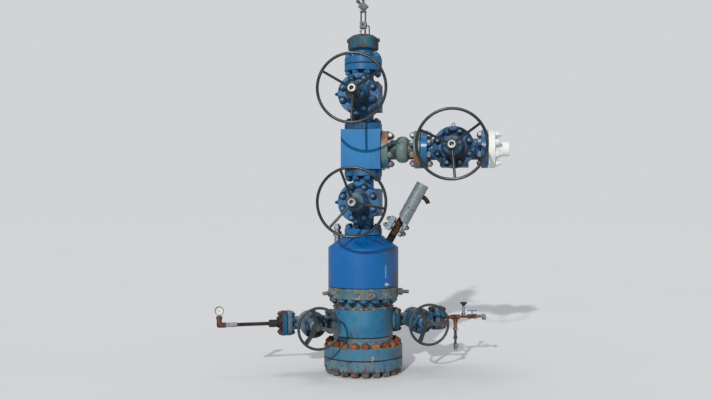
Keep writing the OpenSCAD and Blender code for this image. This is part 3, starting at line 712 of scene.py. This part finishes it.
class STACK_OT_paint_stack(Step, bpy.types.Operator):
    """Weathered blue on the upright valves, the tee block, the bonnets and the cap"""

    bl_idname = "stack.paint_stack"
    bl_label = "Stack finishes"

    def build(self, sizes, look, stage):
        for valve in ("master", "swab"):
            low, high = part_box(f"{valve}_valve_body")
            middle = (low.z + high.z) / 2
            edges = (flange_edges(2, middle, 0.19), flange_edges(1, 0.0, 0.155))
            body = paint(f"{valve}_paint", look, look.blue, rust=0.35, grime_and_shade=0.45, edges=edges)
            dress(f"{valve}_valve_body", body)
        front = (flange_edges(1, 0.0, 0.19),)
        blue = srgb(22, 100, 152)
        bonnet = paint("bonnet_paint", look, blue, grime_and_shade=0.55, edges=front, more_dirt_and_shade=self.neck)
        for valve in LARGE_VALVES:
            dress(f"{valve}_bonnet", bonnet)
        fresh, faded = srgb(44, 92, 122), srgb(98, 124, 132)
        dress("bearing_caps", paint("bearing_paint", look, fresh, faded, rust=0.5, grime_and_shade=0.65))
        block = Finish("block_paint", specular=0.28)
        base = smooth_paint(block, look.bright_blue)
        dress("tee_block", block.done(base, 0.36, block.noise(90, 3), 0.0006, 0.4))
        rim = (flange_edges(2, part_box("cap_flange")[0].z, 0.0),)
        flange = paint("cap_flange_paint", look, look.blue, rust=0.4, grime_and_shade=0.45, edges=rim)
        dress("cap_flange", flange)
        dress("tree_cap", self.cap(look, srgb(26, 74, 98)))

    def neck(self, made):
        """Oil round the stem, in front of a bonnet's bolts, with painted shade on faces there that
        look down and a painted shadow below and right of each stem.
        """
        out = made.rise(made.times(made.where(1), -1.0), 0.264, 0.275)
        oil_and_shade = made.patches(11, 5, 0.38, 0.58, 0.8)
        # Painted shade: faces in front of the bonnet that look down.
        oil_and_shade = made.either(oil_and_shade, made.rise(made.times(made.facing(2), -1.0), -0.1, 0.45, 0.8))
        oil_and_shade = made.times(out, oil_and_shade)
        for valve in LARGE_VALVES:
            centre, _ = joint_place(f"{valve}_wheel_turn")
            # Painted shadow below and to the right of each stem, in patches.
            painted_shadow = made.near((centre.x + 0.05, -0.29, centre.z - 0.085), (0.085, 0.14, 0.12))
            oil_and_shade = made.either(oil_and_shade, made.times(painted_shadow, made.patches(17, 6, 0.3, 0.5, 0.72)))
        return oil_and_shade

    def cap(self, look, teal):
        """Dark paint on the cap, rusty on its lugs and along its shoulder, with painted shade on
        the faces that look left and right.
        """
        made = Finish("cap_paint", specular=0.4)
        low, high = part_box("tree_cap")
        base = made.mottle(teal, srgb(48, 96, 112), 9, 6, 0.36, 0.68)
        base = made.mottle(base, look.grime_and_shade, 16, 6, 0.5, 0.68, 0.8, 0.62, (1, 1, 0.3))
        out = made.maths("ABSOLUTE", made.where(0))
        lugs = made.rise(out, 0.117, 0.121)
        top = made.rise(made.where(2), high.z - 0.042, high.z - 0.024)
        patchy = made.patches(20, 6, 0.44, 0.56, 1, 0.66)
        # Painted shade on the faces that look left and right, in patches.
        sides = made.rise(made.maths("ABSOLUTE", made.facing(0)), 0.6, 0.94, 0.75)
        base = made.blend(made.times(sides, made.patches(10, 5, 0.3, 0.5)), base, look.grime_and_shade)
        foot = made.fall(made.where(2), low.z + 0.012, low.z + 0.026)
        eaten = made.either(lugs, made.times(made.either(top, foot), patchy))
        tone = made.mottle(look.rust, look.dark_rust, 40, 5, 0.3, 0.54)
        base = made.blend(made.times(eaten, made.patches(30, 5, 0.3, 0.42)), base, tone)
        rough = made.grain(0.5, 26, 0.3)
        return made.done(base, rough, made.noise(110, 6, 0.7), 0.0012, 0.6)


class STACK_OT_paint_arm(Step, bpy.types.Operator):
    """The worn spool, the blue wing valve and the white flange at the arm's end"""

    bl_idname = "stack.paint_arm"
    bl_label = "Arm finishes"

    def build(self, sizes, look, stage):
        low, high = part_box("wing_valve_body")
        edges = (flange_edges(0, (low.x + high.x) / 2, 0.19), flange_edges(1, 0.0, 0.155))
        body = paint("wing_paint", look, look.blue, rust=0.35, grime_and_shade=0.4, gloss=0.2, edges=edges)
        dress("wing_valve_body", body)
        dress("wing_spool", self.spool(look))
        dress("weld_neck_flange", self.white_neck(look))

    def spool(self, look):
        made = Finish("arm_spool_paint", specular=0.4)
        low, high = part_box("wing_spool")
        middle = (low.z + high.z) / 2
        base = made.mottle(srgb(82, 108, 106), srgb(104, 120, 114), 8, 6, 0.35, 0.62)
        blue = made.patches(6, 6, 0.50, 0.60, 1, 0.6)
        base = made.blend(blue, base, srgb(60, 108, 122))
        stained = made.patches(15, 7, 0.60, 0.70, 0.7, 0.66)
        for x, z in ((low.x + 0.03, middle + 0.085), (high.x - 0.024, middle - 0.075)):
            patch = made.near((x, -0.11, z), (0.05, 0.09, 0.055))
            stained = made.either(stained, made.times(patch, made.patches(20, 6, 0.3, 0.5, 0.95)))
        tone = made.mottle(look.rust, srgb(168, 120, 84), 25, 5, 0.45, 0.65)
        base = made.blend(stained, base, tone)
        y, z = made.where(1), made.minus(made.where(2), middle)
        from_axis = made.maths("SQRT", made.plus(made.times(y, y), made.times(z, z)))
        # Painted shade in the narrow necks between the bulge and the flanges, darkened in patches.
        neck = made.fall(from_axis, 0.078, 0.086)
        neck = made.times(neck, made.patches(18, 5, 0.3, 0.5, 0.85))
        base = made.blend(neck, base, look.grime_and_shade)
        base = made.mottle(base, look.grime_and_shade, 22, 6, 0.58, 0.72, 0.7)
        rough = made.grain(0.34, 30, 0.3)
        height = made.plus(made.noise(110), made.times(stained, 0.5))
        return made.done(base, rough, height, 0.001, 0.5)

    def white_neck(self, look):
        made = Finish("white_paint", specular=0.3)
        base = made.mottle(look.white, srgb(170, 175, 176), 10, 5, 0.45, 0.8, 0.5)
        spots = made.patches(52, 7, 0.7, 0.76, 0.9, 0.7)
        base = made.blend(spots, base, look.rust)
        rough = made.grain(0.44, 26, 0.2)
        return made.done(base, rough, made.times(made.noise(140, 3), 0.5), 0.0006, 0.4)


class STACK_OT_paint_wheels(Step, bpy.types.Operator):
    """Rubbed black on the handwheels and bright steel on the stems"""

    bl_idname = "stack.paint_wheels"
    bl_label = "Wheel finishes"

    def build(self, sizes, look, stage):
        big = wheel_paint("wheel_paint", look, 0.6)
        stem = metal("stem_steel", look, shade(0.86, look.steel), 0.3, 0.15)
        for valve in LARGE_VALVES:
            dress(f"{valve}_handwheel", big)
            dress(f"{valve}_stem", stem)
        small = wheel_paint("side_wheel_paint", look, 0.3, srgb(40, 46, 48), srgb(66, 72, 68), 0.42)
        dull = metal("side_stem_steel", look, shade(0.3, look.steel), 0.45, 0.6)
        for side in SIDES:
            dress(f"{side}_side_handwheel", small)
            dress(f"{side}_side_stem", dull)


class STACK_OT_paint_side_valves(Step, bpy.types.Operator):
    """Dull blue and grime on the two valves of the side outlets"""

    bl_idname = "stack.paint_side_valves"
    bl_label = "Side valve finishes"

    def build(self, sizes, look, stage):
        fresh, faded = srgb(42, 88, 118), srgb(112, 126, 132)
        body = paint("side_paint", look, fresh, faded, rust=0.5, grime_and_shade=0.38)
        for side in SIDES:
            dress(f"{side}_side_valve", body)
        fresh, faded = srgb(38, 92, 128), srgb(92, 108, 116)
        dress("side_bonnets", paint("side_bonnet_paint", look, fresh, faded, rust=0.5, grime_and_shade=0.7))
        faded = shade(0.7, look.faded_blue)
        dress("companion_flanges", rusted("companion_rust", look, faded, 0.8, 0.2, 0.5))


class STACK_OT_paint_lines(Step, bpy.types.Operator):
    """Rust, zinc and black on the small lines, the top fittings, the gauge case and the handles"""

    bl_idname = "stack.paint_lines"
    bl_label = "Small line finishes"

    def build(self, sizes, look, stage):
        dress("left_gauge_line", self.gauge_line(look, sizes))
        dress("right_bleed_line", self.bleed_line(look, sizes))
        dress("pressure_gauge", metal("gauge_case", look, shade(0.6, look.steel), 0.3, 0.2))
        dress("bleed_valve", metal("bleed_steel", look, look.steel, 0.3, 0.35))
        dress("bleed_handle", wheel_paint("handle_paint", look, 0.2))
        blue = paint("handle_blue", look, srgb(48, 118, 172), rust=0.1, grime_and_shade=0.1)
        dress("ball_valve_handle", blue)
        dress("cap_nipple", metal("nipple_steel", look, shade(0.8, look.steel), 0.35, 0.6))
        dress("cap_needle_valve", metal("needle_steel", look, shade(0.38, look.zinc), 0.35, 0.4))
        dress("cap_coupler", metal("coupler_steel", look, shade(0.35, look.zinc), 0.4, 0.45))

    def outwards(self, made, side, sizes):
        """How far a point lies out along a side line, and where the companion flange ends."""
        _, way, distance = outlet(side)
        reach = made.plus(made.times(made.where(0), way.x), made.times(made.where(1), way.y))
        return reach, distance + sizes.side_len / 2 + sizes.side_flange_t

    def gauge_line(self, look, sizes):
        """Black pipe and coupling, a galvanized nipple and a rusty elbow."""
        made = Finish("gauge_line_finish", metal=0.3, specular=0.4)
        reach, start = self.outwards(made, "left", sizes)
        black = made.mottle(look.wheel, look.dark_rust, 20, 6, 0.4, 0.7)
        dark = made.mottle(srgb(34, 40, 46), look.dark_rust, 24, 6, 0.4, 0.62, 0.35)
        zinc = made.mottle(look.zinc, look.dust, 30, 5, 0.4, 0.7)
        rust = made.mottle(look.rust, look.dark_rust, 26, 6, 0.35, 0.65)
        base = made.blend(made.rise(reach, start + 0.100, start + 0.104), dark, black)
        base = made.blend(made.rise(reach, start + 0.335, start + 0.337), base, zinc)
        base = made.blend(made.rise(reach, start + 0.419, start + 0.421), base, rust)
        rough = made.grain(0.48, 34, 0.3)
        return made.done(base, rough, made.noise(120, 5), 0.001, 0.5)

    def bleed_line(self, look, sizes):
        """Rusty tee and valve, a red pipe, and dull steel pieces down the leg and at the end."""
        made = Finish("bleed_line_finish", metal=0.25, specular=0.4)
        reach, start = self.outwards(made, "right", sizes)
        rust = made.mottle(look.rust, look.dark_rust, 26, 6, 0.35, 0.65)
        steel = made.mottle(look.zinc, look.dark_rust, 24, 6, 0.4, 0.72)
        red = made.mottle(srgb(120, 52, 40), look.dark_rust, 40, 6, 0.4, 0.7)
        base = made.blend(made.band(reach, start + 0.160, start + 0.224, 0.002), rust, red)
        base = made.blend(made.rise(reach, start + 0.301, start + 0.303), base, steel)
        low_leg = made.fall(made.where(2), 0.314, 0.317)
        base = made.blend(low_leg, base, steel)
        rough = made.grain(0.5, 34, 0.3)
        return made.done(base, rough, made.noise(120, 5), 0.001, 0.5)


class STACK_OT_base_nuts(Step, bpy.types.Operator):
    """Studs and heavy nuts above and below the two base flanges"""

    bl_idname = "stack.base_nuts"
    bl_label = "Base studs and nuts"

    def build(self, sizes, look, stage):
        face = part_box("casing_head_flange")[1].z
        upper = Matrix.Translation((0, 0, face + sizes.base_flange_t))
        lower = flipped(Matrix.Translation((0, 0, face - sizes.base_flange_t)))
        rust = rusted("base_nut_rust", look, srgb(150, 98, 66), 0.3, 0.2, 1.15)
        dull = rusted("base_nut_dull", look, srgb(86, 92, 94), 0.8, 0.1, 0.7)
        through = 2 * sizes.base_flange_t
        turn = math.pi / sizes.base_studs + sizes.base_turn
        count, radius = sizes.base_studs, sizes.base_circle
        top = bolting(upper, count, radius, sizes.big_nut, turn, through)
        joined("base_nuts_upper", top, rust, "rusty_steel")
        under = bolting(lower, count, radius, sizes.big_nut, -turn, past=8 * MM)
        joined("base_nuts_lower", under, dull, "rusty_steel")


class STACK_OT_spool_nuts(Step, bpy.types.Operator):
    """Nuts that hang under the spool's top flange"""

    bl_idname = "stack.spool_nuts"
    bl_label = "Spool top nuts"

    def build(self, sizes, look, stage):
        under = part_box("tubing_head_spool")[1].z - sizes.top_flange_t
        place = flipped(Matrix.Translation((0, 0, under)))
        made = Finish("spool_nut_paint", specular=0.4)
        # Painted shade: the lower part of each hanging nut is darkened, with a ragged edge, while
        # the top keeps the blue paint.
        shaded_low_side = made.fall(made.where(2), under - 0.027, under - 0.017)
        ragged_shade = made.rise(made.plus(shaded_low_side, made.noise(30, 6)), 0.86, 1.0)
        pale = made.mottle(srgb(38, 92, 130), srgb(84, 124, 146), 16, 6, 0.42, 0.6)
        dark = made.mottle(look.grime_and_shade, look.dark_rust, 26, 6, 0.5, 0.72)
        finish = made.done(made.blend(ragged_shade, pale, dark), 0.5, made.noise(120, 5), 0.001, 0.5)
        turn = math.pi / sizes.top_studs + sizes.base_turn
        count, radius = sizes.top_studs, sizes.top_circle
        ring = bolting(place, count, radius, sizes.big_nut, turn, sizes.top_flange_t)
        joined("spool_top_nuts", ring, finish, "blue_paint")


class STACK_OT_stack_nuts(Step, bpy.types.Operator):
    """Nuts of the upright valves' end flanges"""

    bl_idname = "stack.stack_nuts"
    bl_label = "Stack studs and nuts"

    def build(self, sizes, look, stage):
        finish = paint("stack_nut_paint", look, look.blue, rust=0.55, grime_and_shade=0.5, gloss=0.4)
        t = sizes.valve_flange_t
        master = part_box("master_valve_body")
        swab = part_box("swab_valve_body")
        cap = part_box("cap_flange")
        rings = {
            "master_lower_nuts": (master[0].z + t, 1),
            "master_upper_nuts": (master[1].z - t, -1),
            "swab_lower_nuts": (swab[0].z + t, 1),
            "swab_upper_nuts": (swab[1].z - t, -1),
            "cap_flange_nuts": (cap[0].z + t, 1),
        }
        for name, (height, way) in rings.items():
            place = Matrix.Translation((0, 0, height))
            place = place if way > 0 else flipped(place)
            back = 0.0 if name == "cap_flange_nuts" else t + 0.004
            ring = bolting(place, sizes.valve_studs, sizes.valve_circle, sizes.valve_nut, back=back)
            joined(name, ring, finish, "blue_paint")


class STACK_OT_arm_nuts(Step, bpy.types.Operator):
    """Bright nuts along the flow arm and white ones on the end flange"""

    bl_idname = "stack.arm_nuts"
    bl_label = "Arm studs and nuts"

    def build(self, sizes, look, stage):
        bright = metal("arm_nut_steel", look, srgb(156, 160, 164), 0.42, 0.35)
        white = STACK_OT_paint_arm.white_neck(self, look)
        t = sizes.valve_flange_t
        spool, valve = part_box("wing_spool"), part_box("wing_valve_body")
        height = (spool[0].z + spool[1].z) / 2
        rings = (
            ("spool_inner_nuts", spool[0].x + t, 1, bright, "bare_steel"),
            ("spool_outer_nuts", spool[1].x - t, -1, bright, "bare_steel"),
            ("wing_inner_nuts", valve[0].x + t, 1, bright, "bare_steel"),
            ("wing_outer_nuts", valve[1].x - t, -1, bright, "bare_steel"),
            ("end_flange_nuts", valve[1].x + t, 1, white, "white_paint"),
        )
        for name, x, way, finish, slot in rings:
            place = along((way, 0, 0), (x, 0, height))
            past = (22 if name == "end_flange_nuts" else 9) * MM
            count, radius = sizes.valve_studs, sizes.valve_circle
            ring = bolting(place, count, radius, sizes.arm_nut, back=t + 4 * MM, past=past)
            joined(name, ring, finish, slot)


class STACK_OT_bonnet_nuts(Step, bpy.types.Operator):
    """Nuts on the front of the large bonnets"""

    bl_idname = "stack.bonnet_nuts"
    bl_label = "Bonnet studs and nuts"

    def build(self, sizes, look, stage):
        # The nuts take a darker blue and the stud ends a lighter one: painted shade and painted
        # light on one blue paint.
        dark = shade(0.55, look.blue)
        finish = paint("bonnet_nut_paint", look, dark, rust=0.5, grime_and_shade=0.6, gloss=0.4)
        pale = paint("bonnet_stud_paint", look, srgb(60, 122, 164), rust=0.2, grime_and_shade=0.1, gloss=0.4)
        # The washers under the nuts are near black: painted shade round each nut, with some dark
        # rust.
        oily = Finish("washer_shade", metal=0.2, specular=0.4)
        tone = oily.mottle(look.grime_and_shade, look.dark_rust, 60, 5, 0.4, 0.7)
        seat = oily.done(tone, 0.6, oily.noise(160), 0.0006, 0.5)
        washer = self.washer(sizes.bonnet_nut)
        for valve in LARGE_VALVES:
            centre, axis = joint_place(f"{valve}_wheel_turn")
            place = along(axis, (centre.x, -sizes.bonnet_face, centre.z))
            count, radius = sizes.valve_studs, sizes.bonnet_circle
            rings = [(washer, spot) for spot in circle(count, radius, math.pi / count, place)]
            joined(f"{valve}_bonnet_washers", rings, seat, "rusty_steel")
            place = place @ Matrix.Translation((0, 0, 3 * MM))
            ring = bolting(place, count, radius, sizes.bonnet_nut, back=70 * MM, past=1 * MM)
            joined(f"{valve}_bonnet_nuts", ring, finish, "blue_paint")
            stud, nut = 0.31 * sizes.bonnet_nut, 0.61 * sizes.bonnet_nut
            end = thread_shape(stud * 0.94, nut, nut + 16 * MM, stud * 0.2)
            ends = [(end, spot) for spot in circle(count, radius, math.pi / count, place)]
            joined(f"{valve}_bonnet_studs", ends, pale, "blue_paint")

    def washer(self, across):
        """A washer with a rounded edge, closed below its nut."""
        r = across * 0.72
        return lathe([(0, 0), (r, 0), (r, 2 * MM), (r - 1 * MM, 3 * MM), (0, 3 * MM)], 32)


class STACK_OT_grease_fittings(Step, bpy.types.Operator):
    """Hexagon collars and round caps on the bonnets' grease fittings"""

    bl_idname = "stack.grease_fittings"
    bl_label = "Grease fittings"

    def build(self, sizes, look, stage):
        zinc = metal("grease_zinc", look, look.steel, 0.3, 0.3)
        blue = paint("grease_paint", look, look.blue, rust=0.3, grime_and_shade=0.4)
        collar = nut_shape(28 * MM, 13 * MM, 9 * MM)
        outline = ((0, 12), (9, 12), (11, 17), (10, 22), (5, 27), (0, 28))
        cap = lathe([(r * MM, z * MM) for r, z in outline], 24)
        for valve in LARGE_VALVES:
            centre, _ = joint_place(f"{valve}_wheel_turn")
            depth, reach = -235 * MM, 155 * MM  # of the fitting from the valve's axis
            if valve == "wing":
                place = along((0, 0, 1), (centre.x, depth, centre.z + reach))
            else:
                place = along((-1, 0, 0), (centre.x - reach, depth, centre.z))
            parts = [(collar, place), (cap, place)]
            joined(f"{valve}_grease_cap", parts, zinc if valve == "wing" else blue, "bare_steel")


class STACK_OT_side_valve_nuts(Step, bpy.types.Operator):
    """Nuts of the side valves' flanges and bonnets"""

    bl_idname = "stack.side_valve_nuts"
    bl_label = "Side valve studs and nuts"

    def build(self, sizes, look, stage):
        finish = paint("side_nut_paint", look, shade(0.6, look.blue), rust=0.8, grime_and_shade=0.8)
        rust = rusted("side_nut_rust", look, look.grime_and_shade, 0.6, 0.2, 0.45)
        t, half = sizes.side_flange_t, sizes.side_len / 2
        for side in SIDES:
            _, axis = joint_place(f"{side}_side_wheel_turn")
            centre, way, reach = outlet(side)
            rings = (
                ("inner", reach - half + t, 1, finish, "blue_paint"),
                ("outer", reach + half - t, -1, finish, "blue_paint"),
                ("companion", reach + half + t, 1, rust, "rusty_steel"),
            )
            for part, distance, sign, material, slot in rings:
                place = along(way * sign, (way.x * distance, way.y * distance, centre.z))
                count, radius = sizes.valve_studs, sizes.side_circle
                ring = bolting(place, count, radius, sizes.side_nut, back=t + 4 * MM)
                joined(f"{side}_{part}_nuts", ring, material, slot)
            face = along(axis, centre + axis * sizes.side_face)
            circle_r, nut = sizes.side_bonnet_circle, sizes.side_bonnet_nut
            ring = bolting(face, sizes.valve_studs, circle_r, nut, back=46 * MM)
            joined(f"{side}_bonnet_nuts", ring, finish, "blue_paint")


class STACK_OT_clamp_nuts(Step, bpy.types.Operator):
    """Nuts on both plates of the feedthrough clamp, and the screws round the shield tube"""

    bl_idname = "stack.clamp_nuts"
    bl_label = "Clamp nuts and shield screws"

    def build(self, sizes, look, stage):
        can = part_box("adapter_can")
        feed = Matrix.Translation((can[1].x - 12 * MM, 0, can[1].z + 57 * MM)) @ Matrix.Rotation(
            sizes.feed_tilt, 4, "Y"
        )
        bright = metal("clamp_nut_steel", look, shade(0.45, look.steel), 0.3, 0.75)
        washer = lathe([(0, 0), (16 * MM, 0), (16 * MM, 2.5 * MM), (0, 2.5 * MM)], 24)
        parts = []
        for x, way in ((61 * MM, 1), (-78 * MM, -1)):
            for y in (-37.3 * MM, 37.3 * MM):
                for z in (-16 * MM, 38 * MM):
                    spot = feed @ along((way, 0, 0), (x, y, z))
                    parts.append((washer, spot))
                    seat = spot @ Matrix.Translation((0, 0, 2.5 * MM))
                    parts += list(bolting(seat, 1, 0.0, sizes.clamp_nut, first=0.0))
        joined("clamp_nuts", parts, bright, "bare_steel")
        head = lathe([(0, 0), (5 * MM, 0), (5 * MM, 2 * MM), (3 * MM, 3.4 * MM), (0, 3.4 * MM)], 16)
        screws = []
        for k in range(8):
            middle = feed @ Matrix.Translation((15 * MM, 0, 184 * MM))
            turn = middle @ Matrix.Rotation(math.radians(-98 + 45 * k), 4, "Z")
            screws.append((head, turn @ along((1, 0, 0), (49.9 * MM, 0, 0))))
        # The screws are near black with some rust: painted shade, as in open holes.
        rust = rusted("screw_rust_and_shade", look, look.grime_and_shade, 0.9, 0.0, 0.5)
        joined("shield_screws", screws, rust, "rusty_steel")


class STACK_OT_gauge_dial(Step, bpy.types.Operator):
    """Dial plate, marks, needle and hub of the pressure gauge"""

    bl_idname = "stack.gauge_dial"
    bl_label = "Gauge dial"

    def build(self, sizes, look, stage):
        _, axis = joint_place("left_side_wheel_turn")
        _, way, distance = outlet("left")
        pipe = 468 * MM  # from the companion flange to the gauge's stem
        reach = distance + sizes.side_len / 2 + sizes.side_flange_t + pipe
        case_radius = 33 * MM
        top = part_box("pressure_gauge")[1].z
        middle = Vector((way.x * reach, way.y * reach, top - case_radius))
        place = along(axis, middle + axis * (11.1 * MM))
        radius = 28.6 * MM
        white = Finish("dial_white", specular=0.4)
        tone = white.mottle(srgb(206, 210, 208), look.dust, 60, 5, 0.5, 0.8, 0.25)
        plate = lathe([(0, 0), (radius, 0), (radius, 0.6 * MM), (0, 0.6 * MM)], 48)
        enamel = white.done(tone, 0.5, white.noise(200), 0.0001, 0.2)
        joined("gauge_dial", [(plate, place)], enamel, "white_paint")
        black = Finish("dial_black", specular=0.4)
        ink = black.mottle(look.rubber, look.grime_and_shade, 80, 5, 0.4, 0.7, 0.4)
        marks = []
        for k in range(21):
            long = 5.2 * MM if k % 5 == 0 else 3.2 * MM
            wide = 1.1 * MM if k % 5 == 0 else 0.6 * MM
            turn = Matrix.Rotation(math.radians(225 - 13.5 * k), 4, "Z")
            spot = place @ turn @ Matrix.Translation((radius - 4.5 * MM, 0, 0.6 * MM))
            marks.append((slab(long, wide, 0.3 * MM), spot))
        turn = Matrix.Rotation(math.radians(225 - 13.5 * 4), 4, "Z")
        needle = turn @ Matrix.Translation((6 * MM, 0, 1.2 * MM))
        marks.append((slab(28 * MM, 1.4 * MM, 0.4 * MM), place @ needle))
        outline = ((0, 0), (3, 0), (3, 1.6), (2, 2.2), (0, 2.2))
        boss = lathe([(r * MM, z * MM) for r, z in outline], 24)
        marks.append((boss, place @ Matrix.Translation((0, 0, 0.6 * MM))))
        print_black = black.done(ink, 0.5, black.noise(200), 0.0001, 0.2)
        joined("gauge_marks", marks, print_black, "black_paint")


def slab(long, wide, thick):
    """A thin mark that tapers a little towards its outer end."""
    a, b, c = long / 2, wide / 2, wide * 0.38
    flat = [(-a, -c), (a, -b), (a, b), (-a, c)]
    verts = [(x, y, z) for z in (0, thick) for x, y in flat]
    sides = [(k, (k + 1) % 4, (k + 1) % 4 + 4, k + 4) for k in range(4)]
    return verts, [(3, 2, 1, 0), (4, 5, 6, 7), *sides]


class STACK_OT_stage(Step, bpy.types.Operator):
    """Floor, soft light and the camera"""

    bl_idname = "stack.stage"
    bl_label = "Stage"

    def build(self, sizes, look, stage):
        scene = bpy.context.scene
        scene.view_settings.view_transform = "Standard"
        self.floor(stage)
        self.world(scene)
        self.sun("key", (0.048, 0.4275, -0.18), 2.6, math.radians(1.4))
        self.sun("top", (0.05, 0.05, -1.0), 0.42, math.radians(20))
        self.camera(scene, stage)

    def floor(self, stage):
        half = stage.floor_size / 2
        mesh = bpy.data.meshes.new("floor")
        corners = [(-half, -half, 0), (half, -half, 0), (half, half, 0), (-half, half, 0)]
        mesh.from_pydata(corners, [], [(0, 1, 2, 3)])
        made = Finish("floor_pale", specular=0.1)
        tone = made.mottle(srgb(228, 230, 233), srgb(224, 226, 230), 0.8, 5, 0.4, 0.7, 0.3)
        mesh.materials.append(made.done(tone, 0.9))
        floor = bpy.data.objects.new("floor", mesh)
        bpy.context.scene.collection.objects.link(floor)

    def world(self, scene):
        world = bpy.data.worlds.new("studio")
        world.use_nodes = True
        scene.world = world
        nodes, links = world.node_tree.nodes, world.node_tree.links
        nodes.clear()
        path = nodes.new("ShaderNodeLightPath")
        seen = nodes.new("ShaderNodeMath")
        seen.operation = "MAXIMUM"
        links.new(path.outputs["Is Camera Ray"], seen.inputs[0])
        also = nodes.new("ShaderNodeMath")
        also.operation = "MAXIMUM"
        links.new(seen.outputs[0], also.inputs[0])
        links.new(path.outputs["Is Transmission Ray"], also.inputs[1])
        light = nodes.new("ShaderNodeBackground")
        light.inputs["Color"].default_value = (*srgb(216, 226, 240), 1)
        light.inputs["Strength"].default_value = 0.2
        view = nodes.new("ShaderNodeBackground")
        view.inputs["Color"].default_value = (*srgb(209, 211, 214), 1)
        mix = nodes.new("ShaderNodeMixShader")
        links.new(also.outputs[0], mix.inputs[0])
        links.new(light.outputs[0], mix.inputs[1])
        links.new(view.outputs[0], mix.inputs[2])
        output = nodes.new("ShaderNodeOutputWorld")
        links.new(mix.outputs[0], output.inputs["Surface"])

    def sun(self, name, way, strength, softness):
        """A far light whose rays travel along way."""
        lamp = bpy.data.lights.new(name, "SUN")
        lamp.energy = strength
        lamp.angle = softness
        lamp.color = (1.0, 0.965, 0.91)
        made = bpy.data.objects.new(name, lamp)
        bpy.context.scene.collection.objects.link(made)
        made.rotation_euler = Vector(way).to_track_quat("-Z", "Y").to_euler()

    def camera(self, scene, stage):
        data = bpy.data.cameras.new("camera")
        data.lens = stage.lens
        data.sensor_width = 36.0
        image_width = 712
        middle, view_point = (356.0, 200.0), (363.3, 205.0)  # pixels across and down
        data.shift_x = (middle[0] - view_point[0]) / image_width
        data.shift_y = (view_point[1] - middle[1]) / image_width
        made = bpy.data.objects.new("camera", data)
        scene.collection.objects.link(made)
        turn = stage.azimuth
        out = stage.distance
        made.location = (out * math.sin(turn), -out * math.cos(turn), stage.height)
        made.rotation_euler = (math.pi / 2, 0, turn)
        scene.camera = made


STEPS = (
    STACK_OT_paint_base,
    STACK_OT_paint_can,
    STACK_OT_paint_stack,
    STACK_OT_paint_arm,
    STACK_OT_paint_wheels,
    STACK_OT_paint_side_valves,
    STACK_OT_paint_lines,
    STACK_OT_base_nuts,
    STACK_OT_spool_nuts,
    STACK_OT_stack_nuts,
    STACK_OT_arm_nuts,
    STACK_OT_bonnet_nuts,
    STACK_OT_grease_fittings,
    STACK_OT_side_valve_nuts,
    STACK_OT_clamp_nuts,
    STACK_OT_gauge_dial,
    STACK_OT_stage,
)


class STACK_PT_panel(bpy.types.Panel):
    """Lists the steps and the values that they use"""

    bl_label = "Valve Stack"
    bl_idname = "STACK_PT_panel"
    bl_space_type = "VIEW_3D"
    bl_region_type = "UI"
    bl_category = "Valve Stack"

    def draw(self, context):
        layout = self.layout
        for step in STEPS:
            layout.operator(step.bl_idname)
        scene = context.scene
        for group in (scene.stack_sizes, scene.stack_colours, scene.stack_stage):
            box = layout.box()
            for name in group.__annotations__:
                box.prop(group, name)


CLASSES = (StackSizes, StackColours, StageSizes, *STEPS, STACK_PT_panel)


def register():
    for item in CLASSES:
        bpy.utils.register_class(item)
    bpy.types.Scene.stack_sizes = PointerProperty(type=StackSizes)
    bpy.types.Scene.stack_colours = PointerProperty(type=StackColours)
    bpy.types.Scene.stack_stage = PointerProperty(type=StageSizes)


def unregister():
    del bpy.types.Scene.stack_stage, bpy.types.Scene.stack_colours, bpy.types.Scene.stack_sizes
    for item in reversed(CLASSES):
        bpy.utils.unregister_class(item)


def main():
    register()
    for step in STEPS:
        group, name = step.bl_idname.split(".")
        getattr(getattr(bpy.ops, group), name)()


if __name__ == "__main__":
    main()
